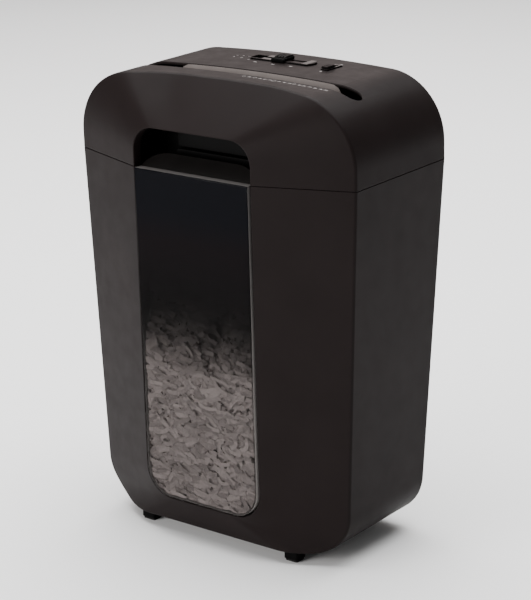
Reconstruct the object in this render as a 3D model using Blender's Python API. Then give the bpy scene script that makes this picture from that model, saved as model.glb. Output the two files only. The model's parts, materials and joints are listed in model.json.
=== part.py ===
"""Paper shredder: a cutting head that lifts off a tapered waste bin with a window.

X runs across the front, Y from front to back and Z up. The origin is on the floor, under the
middle of the machine. Sizes below are in millimetres, and each mesh is turned into metres once,
when its object is made.
"""

import math

import bpy
import bmesh
from mathutils import Vector

MM = 0.001                       # metres in a millimetre
GAP = 0.3                        # space left between two pieces that touch

# Outer form
SEAM_Z = 390.0                   # height where the head sits on the bin
SEAM_HALF_WIDTH = 170.3
SIDE_FRONT_Y = -64.5             # front edge of the flat sides
SIDE_REAR_Y = 87.5               # rear edge of the flat sides
CREST_FRONT_Y = -47.5            # front edge of the top, at the middle
RIM_Y = -99.5                    # foremost edge of head and bin, round the lifting gap and window
LIP_BACK_Y = -88.5               # how far the rim turns inwards
REAR_PANEL_Y = 102.0
CORNER_STEPS = 7                 # facets in a rounded corner
CROWN_STEPS = 3

# Head
HEAD_WALL = 2.6
SHOULDER_RADIUS = 65.0
SHOULDER_TOP_Z = 473.5
CROWN_RISE = 2.7                 # the top is higher in the middle than at the shoulders
NOTCH_HALF_WIDTH = 72.0          # the lifting gap and the window opening share this width
NOTCH_TOP_Z = 431.0
NOTCH_RADIUS = 24.0

# Bin
BIN_WALL = 3.0
BIN_BOTTOM_Z = 13.0
BIN_LOW_HALF_WIDTH = 156.8
BIN_CORNER_RADIUS = 45.0
BIN_REAR_SLOPE = 0.06            # the back leans in by this much per millimetre of height
WINDOW_BOTTOM_Z = 46.0
WINDOW_FRONT_Y = -102.0
WINDOW_RADIUS = 29.0
WINDOW_GAP = 2.0                 # dark line round the window
TAB_CREST_HALF_WIDTH = 40.0      # straight stretch of the grip tab's upper edge
TAB_END_WIDTH = 29.0             # its arched ends
TAB_HEIGHT = 12.7
TAB_LEAN = 14.0                  # how much further back its upper edge is than its foot
TAB_FOOT_Y = -92.5
TAB_THICKNESS = 2.5
TAB_STEPS = 6
FOOT_SIZE = (17.0, 15.0, BIN_BOTTOM_Z - GAP)
FOOT_OUTER_X = 101.8
FOOT_FRONT_Y = (-78.5, 38.0)     # front faces of the front and rear feet

# Paper path and cutters
SLOT_HALF_LENGTH = 139.0
SLOT_Y = (-21.5, -2.5)
THROAT_Y = (-14.5, -9.5)
THROAT_HALF_WIDTH = 113.0
SENSOR_YZ = (-3.0, 450.0)        # pivot of the paper sensor lever
SENSOR_TIP = (-9.8, -13.0)       # from the pivot to the lever's tip
CUTTER_Z = 404.0
CUTTER_Y = (-28.0, 4.0)          # axes of the front and rear cutters
CUTTER_CORE_RADIUS = 12.0
CUTTER_DISC_RADIUS = 17.5
CUTTER_SHAFT_RADIUS = 6.0
DISC_PITCH = 18.0
DISC_THICKNESS = 4.0
CUTTER_HALF_LENGTH = 112.0
FRAME_X = (115.0, 117.5)         # inner and outer face of a frame plate

# Gear train: (teeth, module)
SYNC_GEAR = (20, 1.6)
DRIVE_GEAR = (36, 1.25)
IDLER_PINION = (12, 1.25)
IDLER_WHEEL = (40, 1.0)
MOTOR_PINION = (10, 1.0)
SYNC_X = (119.0, 125.0)
DRIVE_X = (127.0, 132.0)
IDLER_X = (134.0, 139.0)
MOTOR_YZ = (52.0, 425.0)
MOTOR_RADIUS = 22.5
IDLER_PIN_RADIUS = 3.0
GEAR_SHAFT_END = 140.6           # right-hand end of the idler pin and the motor shaft

# Base of the head
BASE_Z = (370.0, 373.0)          # bottom plate
BASE_SKIRT_Z = 394.0
BASE_FRONT_Y = -73.5             # behind the leaning grip tab, which the base passes as it is lifted
CHUTE = (-111.0, 111.0, -48.0, 25.0)
SCREW_X = 148.0                  # the four screws that hold the frame plates to the base
SCREW_Y = (-38.0, 26.0)
SCREW_HOLE_RADIUS = 2.3

# Controls on the top
TRAY_Z = (469.5, 472.0)
MODE_RECESS = (-38.0, 40.0, 41.0, 61.0)
LOCK_RECESS = (57.0, 66.5, 36.0, 62.5)
MODE_SLOT = (-25.0, 30.0, 48.0, 53.0)
LOCK_SLOT = (59.8, 63.8, 38.0, 60.0)
MODE_POCKET = (-35.0, -20.0, 43.5, 57.0)    # deep part of the mode island, left of the knob
ISLAND_GAP = 0.4                 # space round an island in its opening
MODE_ISLAND_TOP_Z = 477.6
LOCK_ISLAND_TOP_Z = 476.4
KNOB_X = 2.5                     # middle of the mode knob at rest
KNOB_TOP_Z = 482.5
LENS_X = (-58.0, -50.5, -43.0)
LENS_Y = 52.0

# Interlock, and the gland that the mains lead leaves by
PLUNGER_XY = (-155.0, 60.0)
PLUNGER_Z = (362.0, 388.0)
GLAND_XZ = (-88.0, 412.0)
GLAND_HOLE_RADIUS = 8.3

COLOURS = {                      # name: (red, green, blue, roughness, metallic)
    "body": (0.055, 0.047, 0.046, 0.55, 0.0),
    "dark": (0.018, 0.018, 0.019, 0.5, 0.0),
    "window": (0.02, 0.02, 0.025, 0.12, 0.0),
    "tab": (0.03, 0.028, 0.028, 0.25, 0.0),
    "paper": (0.42, 0.40, 0.37, 0.9, 0.0),
    "steel": (0.42, 0.42, 0.43, 0.35, 1.0),
    "cutter": (0.30, 0.30, 0.32, 0.3, 1.0),
    "gear": (0.62, 0.60, 0.54, 0.5, 0.0),
    "bronze": (0.45, 0.30, 0.14, 0.4, 1.0),
    "motor": (0.35, 0.36, 0.37, 0.4, 1.0),
    "magnet": (0.06, 0.06, 0.06, 0.7, 0.0),
    "board": (0.02, 0.16, 0.07, 0.5, 0.0),
    "component": (0.03, 0.03, 0.035, 0.45, 0.0),
    "rubber": (0.012, 0.012, 0.012, 0.85, 0.0),
    "guide": (0.20, 0.185, 0.18, 0.35, 0.0),
    "lens": (0.5, 0.5, 0.48, 0.2, 0.0),
}


# ---------------------------------------------------------------- building tools

def clear_scene():
    for item in list(bpy.data.objects):
        bpy.data.objects.remove(item, do_unlink=True)


def material(slot):
    existing = bpy.data.materials.get(slot)
    if existing:
        return existing
    red, green, blue, roughness, metallic = COLOURS[slot]
    made = bpy.data.materials.new(slot)
    made.use_nodes = True
    shader = made.node_tree.nodes["Principled BSDF"]
    shader.inputs["Base Color"].default_value = (red, green, blue, 1.0)
    shader.inputs["Roughness"].default_value = roughness
    shader.inputs["Metallic"].default_value = metallic
    return made


def add_object(name, mesh_edit, slot, pivot=(0.0, 0.0, 0.0), parent=None, smooth=False):
    """Turn an edit mesh in millimetres into an object in metres, with its origin at pivot."""
    centre = Vector(pivot)
    for vertex in mesh_edit.verts:
        vertex.co = (vertex.co - centre)*MM
    bmesh.ops.recalc_face_normals(mesh_edit, faces=mesh_edit.faces)
    mesh = bpy.data.meshes.new(name)
    mesh_edit.to_mesh(mesh)
    mesh_edit.free()
    mesh.materials.append(material(slot))
    if smooth:
        mesh.shade_smooth()
        mesh.set_sharp_from_angle(angle=math.radians(40.0))
    made = bpy.data.objects.new(name, mesh)
    bpy.context.scene.collection.objects.link(made)
    made.location = centre*MM
    if parent is not None:
        made.parent = parent
        made.location = centre*MM - parent.location
    return made


def add_empty(name, position):
    made = bpy.data.objects.new(name, None)
    made.empty_display_size = 0.02
    made.location = Vector(position)*MM
    bpy.context.scene.collection.objects.link(made)
    return made


def cut(target, cutter, operation="DIFFERENCE"):
    cutter.hide_render = True
    cutter.display_type = "WIRE"
    modifier = target.modifiers.new(operation.title() + " " + cutter.name, "BOOLEAN")
    modifier.operation = operation
    modifier.solver = "EXACT"
    modifier.object = cutter


def stack(loops, ring=False):
    """Join closed loops of equally many points, filling the two ends unless it is a ring."""
    mesh_edit = bmesh.new()
    rows = [[mesh_edit.verts.new(point) for point in loop] for loop in loops]
    pairs = list(zip(rows, rows[1:]))
    if ring:
        pairs.append((rows[-1], rows[0]))
    else:
        mesh_edit.faces.new(rows[0])
        mesh_edit.faces.new(rows[-1])
    for near, far in pairs:
        for index in range(len(near)):
            after = (index + 1) % len(near)
            mesh_edit.faces.new((near[index], near[after], far[after], far[index]))
    return mesh_edit


def shell(outer_rows, inner_rows):
    """A closed wall between two nests of open U lines; the last U of each nest is filled."""
    mesh_edit = bmesh.new()
    nests = []
    for rows in (outer_rows, inner_rows):
        nests.append([[mesh_edit.verts.new(point) for point in row] for row in rows])
    for rows in nests:
        for near, far in zip(rows, rows[1:]):
            for index in range(len(near) - 1):
                mesh_edit.faces.new((near[index], near[index + 1], far[index + 1], far[index]))
        mesh_edit.faces.new(rows[-1])
    edges = []
    for rows in nests:
        right = [row[0] for row in rows]
        left = [row[-1] for row in reversed(rows)]
        edges.append(right + left + rows[0][-2:0:-1])
    outer_edge, inner_edge = edges
    for index in range(len(outer_edge)):
        after = (index + 1) % len(outer_edge)
        corner = (outer_edge[index], outer_edge[after], inner_edge[after], inner_edge[index])
        mesh_edit.faces.new(corner)
    return mesh_edit


def box(low_x, high_x, low_y, high_y, low_z, high_z):
    corners = ((low_x, low_y), (high_x, low_y), (high_x, high_y), (low_x, high_y))
    return stack([[(x, y, z) for x, y in corners] for z in (low_z, high_z)])


def extrude(loops, axis, low, high):
    """Extrude a flat outline along an axis; loops after the first are holes through it."""
    mesh_edit = bmesh.new()
    place = {
        "X": lambda a, b: (low, a, b),
        "Y": lambda a, b: (a, low, b),
        "Z": lambda a, b: (a, b, low),
    }[axis]
    for loop in loops:
        points = [mesh_edit.verts.new(place(a, b)) for a, b in loop]
        for index, point in enumerate(points):
            mesh_edit.edges.new((point, points[(index + 1) % len(points)]))
    bmesh.ops.triangle_fill(mesh_edit, use_beauty=True, edges=mesh_edit.edges[:])
    raised = bmesh.ops.extrude_face_region(mesh_edit, geom=mesh_edit.faces[:])
    travel = Vector([high - low if letter == axis else 0.0 for letter in "XYZ"])
    top = [item for item in raised["geom"] if isinstance(item, bmesh.types.BMVert)]
    bmesh.ops.translate(mesh_edit, verts=top, vec=travel)
    return mesh_edit


def circle(centre, radius, sides, turn=0.0):
    points = []
    for step in range(sides):
        angle = turn + 2.0*math.pi*step/sides
        points.append((centre[0] + radius*math.cos(angle), centre[1] + radius*math.sin(angle)))
    return points


def arc(centre, radius, start_degrees, end_degrees, steps):
    points = []
    for step in range(steps + 1):
        angle = math.radians(start_degrees + (end_degrees - start_degrees)*step/steps)
        points.append((centre[0] + radius*math.cos(angle), centre[1] + radius*math.sin(angle)))
    return points


def hole_radius(clear_radius, sides):
    """Radius of a hole's corners that leaves its flats at the clear radius."""
    return clear_radius/math.cos(math.pi/sides)


def turned(profile, centre, axis, sides, ring=False):
    """Turn a profile of (radius, distance) points about an axis through centre."""
    loops = []
    for radius, distance in profile:
        flat = circle(centre, radius, sides)
        if axis == "X":
            loops.append([(distance, a, b) for a, b in flat])
        elif axis == "Y":
            loops.append([(a, distance, b) for a, b in flat])
        else:
            loops.append([(a, b, distance) for a, b in flat])
    return stack(loops, ring)


def arch(half_width, crest_z, radius, foot_z, foot_half_width=None, crown=0.0):
    """Points (x, z) of a U with rounded corners, from its right foot round to its left foot."""
    up = 1.0 if crest_z > foot_z else -1.0
    foot = half_width if foot_half_width is None else foot_half_width
    centre_x = half_width - radius
    centre_z = crest_z - up*radius
    right = [(foot, foot_z)]
    for step in range(CORNER_STEPS + 1):
        angle = 0.5*math.pi*step/CORNER_STEPS
        x = centre_x + radius*math.cos(angle)
        right.append((x, centre_z + up*radius*math.sin(angle)))
    for step in range(1, CROWN_STEPS):
        x = centre_x*(1.0 - step/CROWN_STEPS)
        right.append((x, crest_z + up*crown*(1.0 - (x/centre_x)**2)))
    left = [(-x, z) for x, z in reversed(right)]
    return right + [(0.0, crest_z + up*crown)] + left


def at_depth(points, depth):
    """Give each (x, z) point its Y, from a number or from a rule of x and z."""
    if callable(depth):
        return [(x, depth(x, z), z) for x, z in points]
    return [(x, depth, z) for x, z in points]


def smooth_step(low, high, value):
    share = min(max((value - low)/(high - low), 0.0), 1.0)
    return share*share*(3.0 - 2.0*share)


def rounded_rectangle(low_x, high_x, low_y, high_y, radius, steps=3):
    points = []
    centres = ((high_x - radius, high_y - radius), (low_x + radius, high_y - radius),
               (low_x + radius, low_y + radius), (high_x - radius, low_y + radius))
    for quarter, (centre_x, centre_y) in enumerate(centres):
        for step in range(steps + 1):
            angle = 0.5*math.pi*(quarter + step/steps)
            x = centre_x + radius*math.cos(angle)
            points.append((x, centre_y + radius*math.sin(angle)))
    return points


# ---------------------------------------------------------------- bin

def bin_shell():
    foot_z = SEAM_Z - GAP/2.0

    def front(x, z):
        low = smooth_step(200.0, BIN_BOTTOM_Z, z)
        tuck = 24.0*(1.0 - smooth_step(85.0, 150.0, abs(x)))
        return SIDE_FRONT_Y - tuck*low

    def rear(x, z):
        return SIDE_REAR_Y - BIN_REAR_SLOPE*(SEAM_Z - z)

    def rear_panel(x, z):
        return REAR_PANEL_Y - BIN_REAR_SLOPE*(SEAM_Z - z)

    def shifted(depth, distance):
        return lambda x, z: depth(x, z) + distance

    notch_low = WINDOW_BOTTOM_Z - WINDOW_GAP
    notch = arch(NOTCH_HALF_WIDTH, notch_low, WINDOW_RADIUS + WINDOW_GAP, foot_z)
    body = arch(BIN_LOW_HALF_WIDTH, BIN_BOTTOM_Z, BIN_CORNER_RADIUS, foot_z, SEAM_HALF_WIDTH)
    panel = arch(108.0, 48.0, 36.0, foot_z, 112.0)
    wall = BIN_WALL
    notch_in = arch(NOTCH_HALF_WIDTH + wall, notch_low - wall, WINDOW_RADIUS + WINDOW_GAP + wall, foot_z)
    body_in = arch(BIN_LOW_HALF_WIDTH - wall, BIN_BOTTOM_Z + wall, BIN_CORNER_RADIUS - wall, foot_z,
                   SEAM_HALF_WIDTH - wall)
    panel_in = arch(107.5, 48.5, 35.5, foot_z, 111.5)
    outer = [at_depth(notch, LIP_BACK_Y), at_depth(notch, RIM_Y), at_depth(body, front),
             at_depth(body, rear), at_depth(panel, rear_panel)]
    inner = [at_depth(notch_in, LIP_BACK_Y), at_depth(notch_in, RIM_Y + 6.5),
             at_depth(body_in, shifted(front, 2.0)), at_depth(body_in, shifted(rear, -2.2)),
             at_depth(panel_in, shifted(rear_panel, -wall))]
    add_object("bin_shell", shell(outer, inner), "body", smooth=True)


def window_outline(inset):
    """Closed outline of the window, made smaller all round by inset except along its top."""
    half_width = NOTCH_HALF_WIDTH - WINDOW_GAP - inset
    return arch(half_width, WINDOW_BOTTOM_Z + inset, WINDOW_RADIUS - inset, SEAM_Z - 0.5)


def window_panel():
    """A tray that stands proud of the bin, with a flange behind the bin's lip."""
    wall = 2.5
    flange_y = LIP_BACK_Y + GAP
    face = window_outline(0.0)
    flange = window_outline(-9.0)
    inside = [(x, min(z, SEAM_Z - 3.0)) for x, z in window_outline(wall)]
    loops = [at_depth(face, WINDOW_FRONT_Y), at_depth(face, flange_y), at_depth(flange, flange_y),
             at_depth(flange, flange_y + 2.0), at_depth(inside, flange_y + 2.0),
             at_depth(inside, WINDOW_FRONT_Y + wall)]
    add_object("window_panel", stack(loops), "window", smooth=True)


def grip_tab():
    """A low arched blade that leans back from the window's ledge, for fingers to curl over."""
    foot_z = SEAM_Z - 0.5 + GAP
    outline = []
    for side in (1.0, -1.0):
        turns = range(TAB_STEPS + 1) if side > 0.0 else range(TAB_STEPS, -1, -1)
        for step in turns:
            angle = 0.5*math.pi*step/TAB_STEPS
            x = side*(TAB_CREST_HALF_WIDTH + TAB_END_WIDTH*math.cos(angle))
            outline.append((x, math.sin(angle)))
    faces = []
    for front_y in (TAB_FOOT_Y, TAB_FOOT_Y + TAB_THICKNESS):
        faces.append([(x, front_y + TAB_LEAN*rise, foot_z + TAB_HEIGHT*rise) for x, rise in outline])
    add_object("grip_tab", stack(faces), "tab")


def bin_feet():
    width, depth, height = FOOT_SIZE
    for row, front_y in zip(("front", "rear"), FOOT_FRONT_Y):
        for side, outer_x in (("left", -FOOT_OUTER_X), ("right", FOOT_OUTER_X - width)):
            foot = box(outer_x, outer_x + width, front_y, front_y + depth, 0.0, height)
            add_object("foot_" + row + "_" + side, foot, "dark")


def shredded_paper():
    """A heap of shreds as a crust open underneath, so that it weighs what loose paper does."""
    crust = 2.5
    crest_z = 240.0
    floor_z = BIN_BOTTOM_Z + BIN_WALL + GAP
    levels = ((floor_z, 104.0, -76.0), (34.0, 138.0, -80.0), (70.0, 149.0, -84.0), (215.0, 154.0, -84.0))

    def plan(level, scale, height):
        # a hexagon that follows the bin's angled front, with its long sides halved
        half_width, front_y = level[1:]
        corners = [(76.0, front_y), (half_width, -56.0), (half_width, 0.0), (half_width, 56.0),
                   (half_width/2.0, 60.0), (0.0, 60.0)]
        left = [(-x, y) for x, y in reversed(corners[:-1])]
        points = []
        for index, (x, y) in enumerate(corners + left + [(0.0, front_y)]):
            wave = 5.0*math.sin(1.7*index + 9.0*scale) if height > 200.0 else 0.0
            points.append((x*scale, y*scale, height + wave))
        return points

    top = levels[-1]
    outer = [plan(level, 1.0, level[0]) for level in levels]
    inner = [plan(level, 0.97, level[0]) for level in levels[:-1]]
    inner.append(plan(top, 0.97, top[0] - crust))
    for scale, rise in ((0.8, 0.6), (0.45, 1.0)):
        height = top[0] + rise*(crest_z - top[0])
        outer.append(plan(top, scale, height))
        inner.append(plan(top, scale*0.97, height - crust - 1.5))
    loops = list(reversed(outer)) + inner
    add_object("shredded_paper", stack(loops), "paper")


def interlock_post():
    x, y = PLUNGER_XY
    post = box(x - 9.7, x + 5.0, y - 5.0, y + 5.0, 335.0, PLUNGER_Z[0] - GAP)
    add_object("interlock_post", post, "dark")


# ---------------------------------------------------------------- head casing

def head_cover(head):
    foot_z = SEAM_Z + GAP/2.0

    def front(x, z):
        return CREST_FRONT_Y + (SIDE_FRONT_Y - CREST_FRONT_Y)*smooth_step(55.0, 152.0, abs(x))

    def front_inside(x, z):
        return front(x, z) + 1.8

    wall = HEAD_WALL
    notch = arch(NOTCH_HALF_WIDTH, NOTCH_TOP_Z, NOTCH_RADIUS, foot_z)
    band = arch(SEAM_HALF_WIDTH, SHOULDER_TOP_Z, SHOULDER_RADIUS, foot_z, crown=CROWN_RISE)
    panel = arch(112.0, 445.0, 40.0, foot_z)
    notch_in = arch(NOTCH_HALF_WIDTH + wall, NOTCH_TOP_Z + wall, NOTCH_RADIUS + wall, foot_z)
    band_in = arch(SEAM_HALF_WIDTH - wall, SHOULDER_TOP_Z - wall, SHOULDER_RADIUS - wall, foot_z,
                   crown=CROWN_RISE)
    panel_in = arch(111.5, 444.5, 39.5, foot_z)
    outer = [at_depth(notch, LIP_BACK_Y), at_depth(notch, RIM_Y), at_depth(band, front),
             at_depth(band, SIDE_REAR_Y), at_depth(panel, REAR_PANEL_Y)]
    inner = [at_depth(notch_in, LIP_BACK_Y), at_depth(notch_in, RIM_Y + 7.0),
             at_depth(band_in, front_inside), at_depth(band_in, SIDE_REAR_Y - 2.1),
             at_depth(panel_in, REAR_PANEL_Y - wall)]
    cover = add_object("head_cover", shell(outer, inner), "body", parent=head, smooth=True)

    slot_radius = (SLOT_Y[1] - SLOT_Y[0])/2.0
    openings = (
        ("slot", (-SLOT_HALF_LENGTH, SLOT_HALF_LENGTH) + SLOT_Y, slot_radius - 0.01, 4, 440.0),
        ("mode", MODE_RECESS, 9.0, 4, 464.0),
        ("lock", LOCK_RECESS, 1.2, 2, 464.0),
    )
    above = 495.0
    for name, sides, radius, steps, low in openings:
        outline = rounded_rectangle(*sides, radius, steps)
        cut(cover, add_object(name + "_cutter", extrude([outline], "Z", low, above), "dark"))
    for index, x in enumerate(LENS_X):
        hole = turned(((1.9, 465.0), (1.9, above)), (x, LENS_Y), "Z", 8)
        cut(cover, add_object("lens_cutter_" + str(index + 1), hole, "dark"))
    gland = turned(((GLAND_HOLE_RADIUS, 95.0), (GLAND_HOLE_RADIUS, 106.0)), GLAND_XZ, "Y", 12)
    cut(cover, add_object("gland_cutter", gland, "dark"))


def cord_gland(head):
    flange_radius = 10.5
    neck_radius = GLAND_HOLE_RADIUS - 0.4
    dimple_radius = 3.6
    flange_y = REAR_PANEL_Y - HEAD_WALL - GAP
    end_y = REAR_PANEL_Y - GAP
    profile = ((flange_radius, flange_y - 3.0), (flange_radius, flange_y), (neck_radius, flange_y),
               (neck_radius, end_y), (dimple_radius, end_y), (dimple_radius, end_y - 3.0))
    piece = turned(profile, GLAND_XZ, "Y", 12)
    add_object("cord_gland", piece, "rubber", parent=head, smooth=True)


def base_outline(inset):
    """Plan of the head's base, which drops inside the bin's rim."""
    right = [(126.0 - inset*0.3, BASE_FRONT_Y + inset), (165.0 - inset, -60.0 + inset*0.8),
             (165.0 - inset, 81.5 - inset*0.8), (110.0 - inset*0.3, 95.5 - inset)]
    return right + [(-x, y) for x, y in reversed(right)]


def head_base(head):
    outer = base_outline(0.0)
    inner = base_outline(2.2)
    loops = [[(x, y, BASE_Z[0]) for x, y in outer], [(x, y, BASE_SKIRT_Z) for x, y in outer],
             [(x, y, BASE_SKIRT_Z) for x, y in inner], [(x, y, BASE_Z[1]) for x, y in inner]]
    base = add_object("head_base", stack(loops), "dark", parent=head)
    below = BASE_Z[0] - 5.0
    above = BASE_Z[1] + 5.0
    cut(base, add_object("chute_cutter", box(*CHUTE, below, above), "dark"))
    for name, centre, radius in base_holes():
        hole = turned(((radius, below), (radius, above)), centre, "Z", 8)
        cut(base, add_object("base_" + name + "_cutter", hole, "dark"))


def screw_places():
    places = []
    for side, x in (("left", -SCREW_X), ("right", SCREW_X)):
        for row, y in zip(("front", "rear"), SCREW_Y):
            places.append((row + "_" + side, (x, y)))
    return places


def base_holes():
    holes = [("screw_" + name, centre, SCREW_HOLE_RADIUS) for name, centre in screw_places()]
    holes.append(("plunger", PLUNGER_XY, 3.1))
    return holes


def base_screws(head):
    head_low = BASE_Z[0] - GAP - 2.0
    profile = ((3.5, head_low), (3.5, BASE_Z[0] - GAP), (1.7, BASE_Z[0] - GAP), (1.7, 380.0))
    for name, centre in screw_places():
        add_object("base_screw_" + name, turned(profile, centre, "Z", 8), "steel", parent=head)


def grip_well(head):
    outer = arch(76.0, 435.0, 28.0, BASE_SKIRT_Z + 0.5)
    inner = arch(74.0, 433.0, 26.0, BASE_SKIRT_Z + 0.5)
    front_y = LIP_BACK_Y + GAP
    piece = shell([at_depth(outer, front_y), at_depth(outer, -54.0)],
                  [at_depth(inner, front_y), at_depth(inner, -56.0)])
    add_object("grip_well", piece, "dark", parent=head)


# ---------------------------------------------------------------- paper path

def throat_guides(head):
    top_z = 472.4
    bend_z = 455.0
    low_z = 424.0
    thickness = 2.0
    lead_in = 5.0                # how far the mouth opens on each side
    for name, inner_y, away in (("front", THROAT_Y[0], -1.0), ("rear", THROAT_Y[1], 1.0)):
        back_y = inner_y + away*thickness
        outline = [(inner_y, low_z), (inner_y, bend_z), (inner_y + away*(lead_in - 0.4), top_z),
                   (back_y + away*(lead_in - 0.5), top_z), (back_y, bend_z), (back_y, low_z)]
        piece = extrude([outline], "X", -THROAT_HALF_WIDTH, THROAT_HALF_WIDTH)
        guide = add_object("throat_guide_" + name, piece, "guide", parent=head)
        if name == "rear":
            notch = box(-4.0, 4.0, inner_y - 3.0, back_y + 3.0, low_z - 3.0, 450.0)
            cut(guide, add_object("sensor_notch_cutter", notch, "dark"))


def paper_sensor(head):
    pivot = (0.0, SENSOR_YZ[0], SENSOR_YZ[1])
    reach = math.hypot(*SENSOR_TIP)
    along = (SENSOR_TIP[0]/reach, SENSOR_TIP[1]/reach)
    start = math.atan2(along[1], along[0])
    hub = 3.2
    outline = []
    for step in range(9):
        angle = start + math.radians(60.0) + math.radians(240.0)*step/8.0
        outline.append((SENSOR_YZ[0] + hub*math.cos(angle), SENSOR_YZ[1] + hub*math.sin(angle)))
    for side in (-0.9, 0.9):
        y = SENSOR_YZ[0] + along[0]*reach - along[1]*side
        z = SENSOR_YZ[1] + along[1]*reach + along[0]*side
        outline.append((y, z))
    bore = circle(SENSOR_YZ, hole_radius(1.3, 10), 10)
    lever = extrude([outline, bore], "X", -2.5, 2.5)
    add_object("paper_sensor_lever", lever, "dark", pivot=pivot, parent=head)
    pin = turned(((1.2, -9.0), (1.2, 9.0)), SENSOR_YZ, "X", 10)
    add_object("sensor_pin", pin, "steel", parent=head, smooth=True)
    add_object("sensor_switch", box(-10.0, 10.0, 4.0, 14.0, 440.0, 454.0), "component", parent=head)


# ---------------------------------------------------------------- cutter block

def frame_plates(head):
    foot_z = BASE_Z[1] + GAP
    top_z = 452.0
    flange_x = 153.0
    for side, sign, rear_y in (("left", -1.0, 32.0), ("right", 1.0, 78.0)):
        outline = [(sign*FRAME_X[0], foot_z), (sign*flange_x, foot_z), (sign*flange_x, foot_z + 2.5),
                   (sign*FRAME_X[1], foot_z + 2.5), (sign*FRAME_X[1], top_z), (sign*FRAME_X[0], top_z)]
        plate = add_object("frame_plate_" + side, extrude([outline], "Y", -50.0, rear_y), "steel",
                           parent=head)
        holes = [("bush_" + name, (y, CUTTER_Z), hole_radius(9.3, 12), 12)
                 for name, y in zip(("front", "rear"), CUTTER_Y)]
        if side == "right":
            holes.append(("motor", MOTOR_YZ, 4.5, 12))
            clear_radius = IDLER_PIN_RADIUS + GAP
            holes.append(("idler", idler_centre(), hole_radius(clear_radius, 12), 12))
        ends = sorted((sign*(FRAME_X[0] - 4.0), sign*(FRAME_X[1] + 4.0)))
        for name, centre, radius, sides in holes:
            hole = turned(((radius, ends[0]), (radius, ends[1])), centre, "X", sides)
            cut(plate, add_object(side + "_" + name + "_cutter", hole, "dark"))
        for name, centre in screw_places():
            if name.endswith(side):
                profile = ((SCREW_HOLE_RADIUS, foot_z - 3.0), (SCREW_HOLE_RADIUS, foot_z + 6.0))
                hole = turned(profile, centre, "Z", 8)
                cut(plate, add_object("flange_" + name + "_cutter", hole, "dark"))


def tie_rods(head):
    reach = FRAME_X[0] - GAP
    places = (("upper_front", (-44.0, 438.0)), ("upper_rear", (24.0, 446.0)),
              ("lower_front", (-44.0, 381.0)), ("lower_rear", (24.0, 381.0)))
    for name, centre in places:
        rod = turned(((3.0, -reach), (3.0, reach)), centre, "X", 10)
        add_object("tie_rod_" + name, rod, "steel", parent=head, smooth=True)


def bushes(head):
    bore = hole_radius(CUTTER_SHAFT_RADIUS + 0.1, 12)
    for row, y in zip(("front", "rear"), CUTTER_Y):
        for side, sign in (("left", -1.0), ("right", 1.0)):
            inner = sign*(FRAME_X[0] - GAP)
            profile = ((bore, inner - sign*1.4), (11.0, inner - sign*1.4), (11.0, inner), (9.0, inner),
                       (9.0, sign*118.2), (bore, sign*118.2))
            ring = turned(profile, (y, CUTTER_Z), "X", 12, ring=True)
            add_object("bush_" + row + "_" + side, ring, "bronze", parent=head, smooth=True)


def disc_places(row):
    """Middles of the discs along X; the two cutters' discs pass between each other."""
    count = 12 if row == "front" else 13
    first = -DISC_PITCH*(count - 1)/2.0
    return [first + DISC_PITCH*index for index in range(count)]


def cutters(head):
    for row, y, shaft_end in zip(("front", "rear"), CUTTER_Y, (126.0, 133.0)):
        profile = [(CUTTER_SHAFT_RADIUS, -120.0), (CUTTER_SHAFT_RADIUS, -CUTTER_HALF_LENGTH),
                   (CUTTER_CORE_RADIUS, -CUTTER_HALF_LENGTH)]
        for x in disc_places(row):
            for side in (-0.5, 0.5):
                edge = x + side*DISC_THICKNESS
                steps = (CUTTER_CORE_RADIUS, CUTTER_DISC_RADIUS)
                for radius in steps if side < 0.0 else reversed(steps):
                    profile.append((radius, edge))
        profile += [(CUTTER_CORE_RADIUS, CUTTER_HALF_LENGTH), (CUTTER_SHAFT_RADIUS, CUTTER_HALF_LENGTH),
                    (CUTTER_SHAFT_RADIUS, shaft_end)]
        roller = turned(profile, (y, CUTTER_Z), "X", 12)
        add_object("cutter_" + row, roller, "cutter", pivot=(0.0, y, CUTTER_Z), parent=head, smooth=True)


def stripper_combs(head):
    bar_low = -THROAT_HALF_WIDTH
    bar_high = THROAT_HALF_WIDTH
    finger = 3.0                 # half width of a finger
    for row, y, away in (("front", CUTTER_Y[0], -1.0), ("rear", CUTTER_Y[1], 1.0)):
        tip_y = y + away*(CUTTER_CORE_RADIUS + 0.6)
        bar_y = y + away*(CUTTER_DISC_RADIUS + 1.2)
        back_y = bar_y + away*2.6
        outline = [(bar_low, back_y), (bar_low, bar_y)]
        discs = disc_places(row)
        for left, right in zip(discs, discs[1:]):
            middle = (left + right)/2.0
            outline += [(middle - finger, bar_y), (middle - finger, tip_y),
                        (middle + finger, tip_y), (middle + finger, bar_y)]
        outline += [(bar_high, bar_y), (bar_high, back_y)]
        comb = extrude([outline], "Z", CUTTER_Z - 1.5, CUTTER_Z + 1.5)
        add_object("stripper_comb_" + row, comb, "dark", parent=head)


# ---------------------------------------------------------------- gears and motor

def pitch_radius(gear):
    teeth, module = gear
    return teeth*module/2.0


def idler_centre():
    """Where both gear pairs mesh: above the line from the rear cutter to the motor."""
    start = Vector((CUTTER_Y[1], CUTTER_Z))
    line = Vector(MOTOR_YZ) - start
    first = pitch_radius(DRIVE_GEAR) + pitch_radius(IDLER_PINION)
    second = pitch_radius(IDLER_WHEEL) + pitch_radius(MOTOR_PINION)
    along = (first**2 - second**2 + line.length**2)/(2.0*line.length)
    rise = math.sqrt(first**2 - along**2)
    unit = line.normalized()
    centre = start + unit*along + Vector((-unit.y, unit.x))*rise
    return (centre.x, centre.y)


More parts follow.
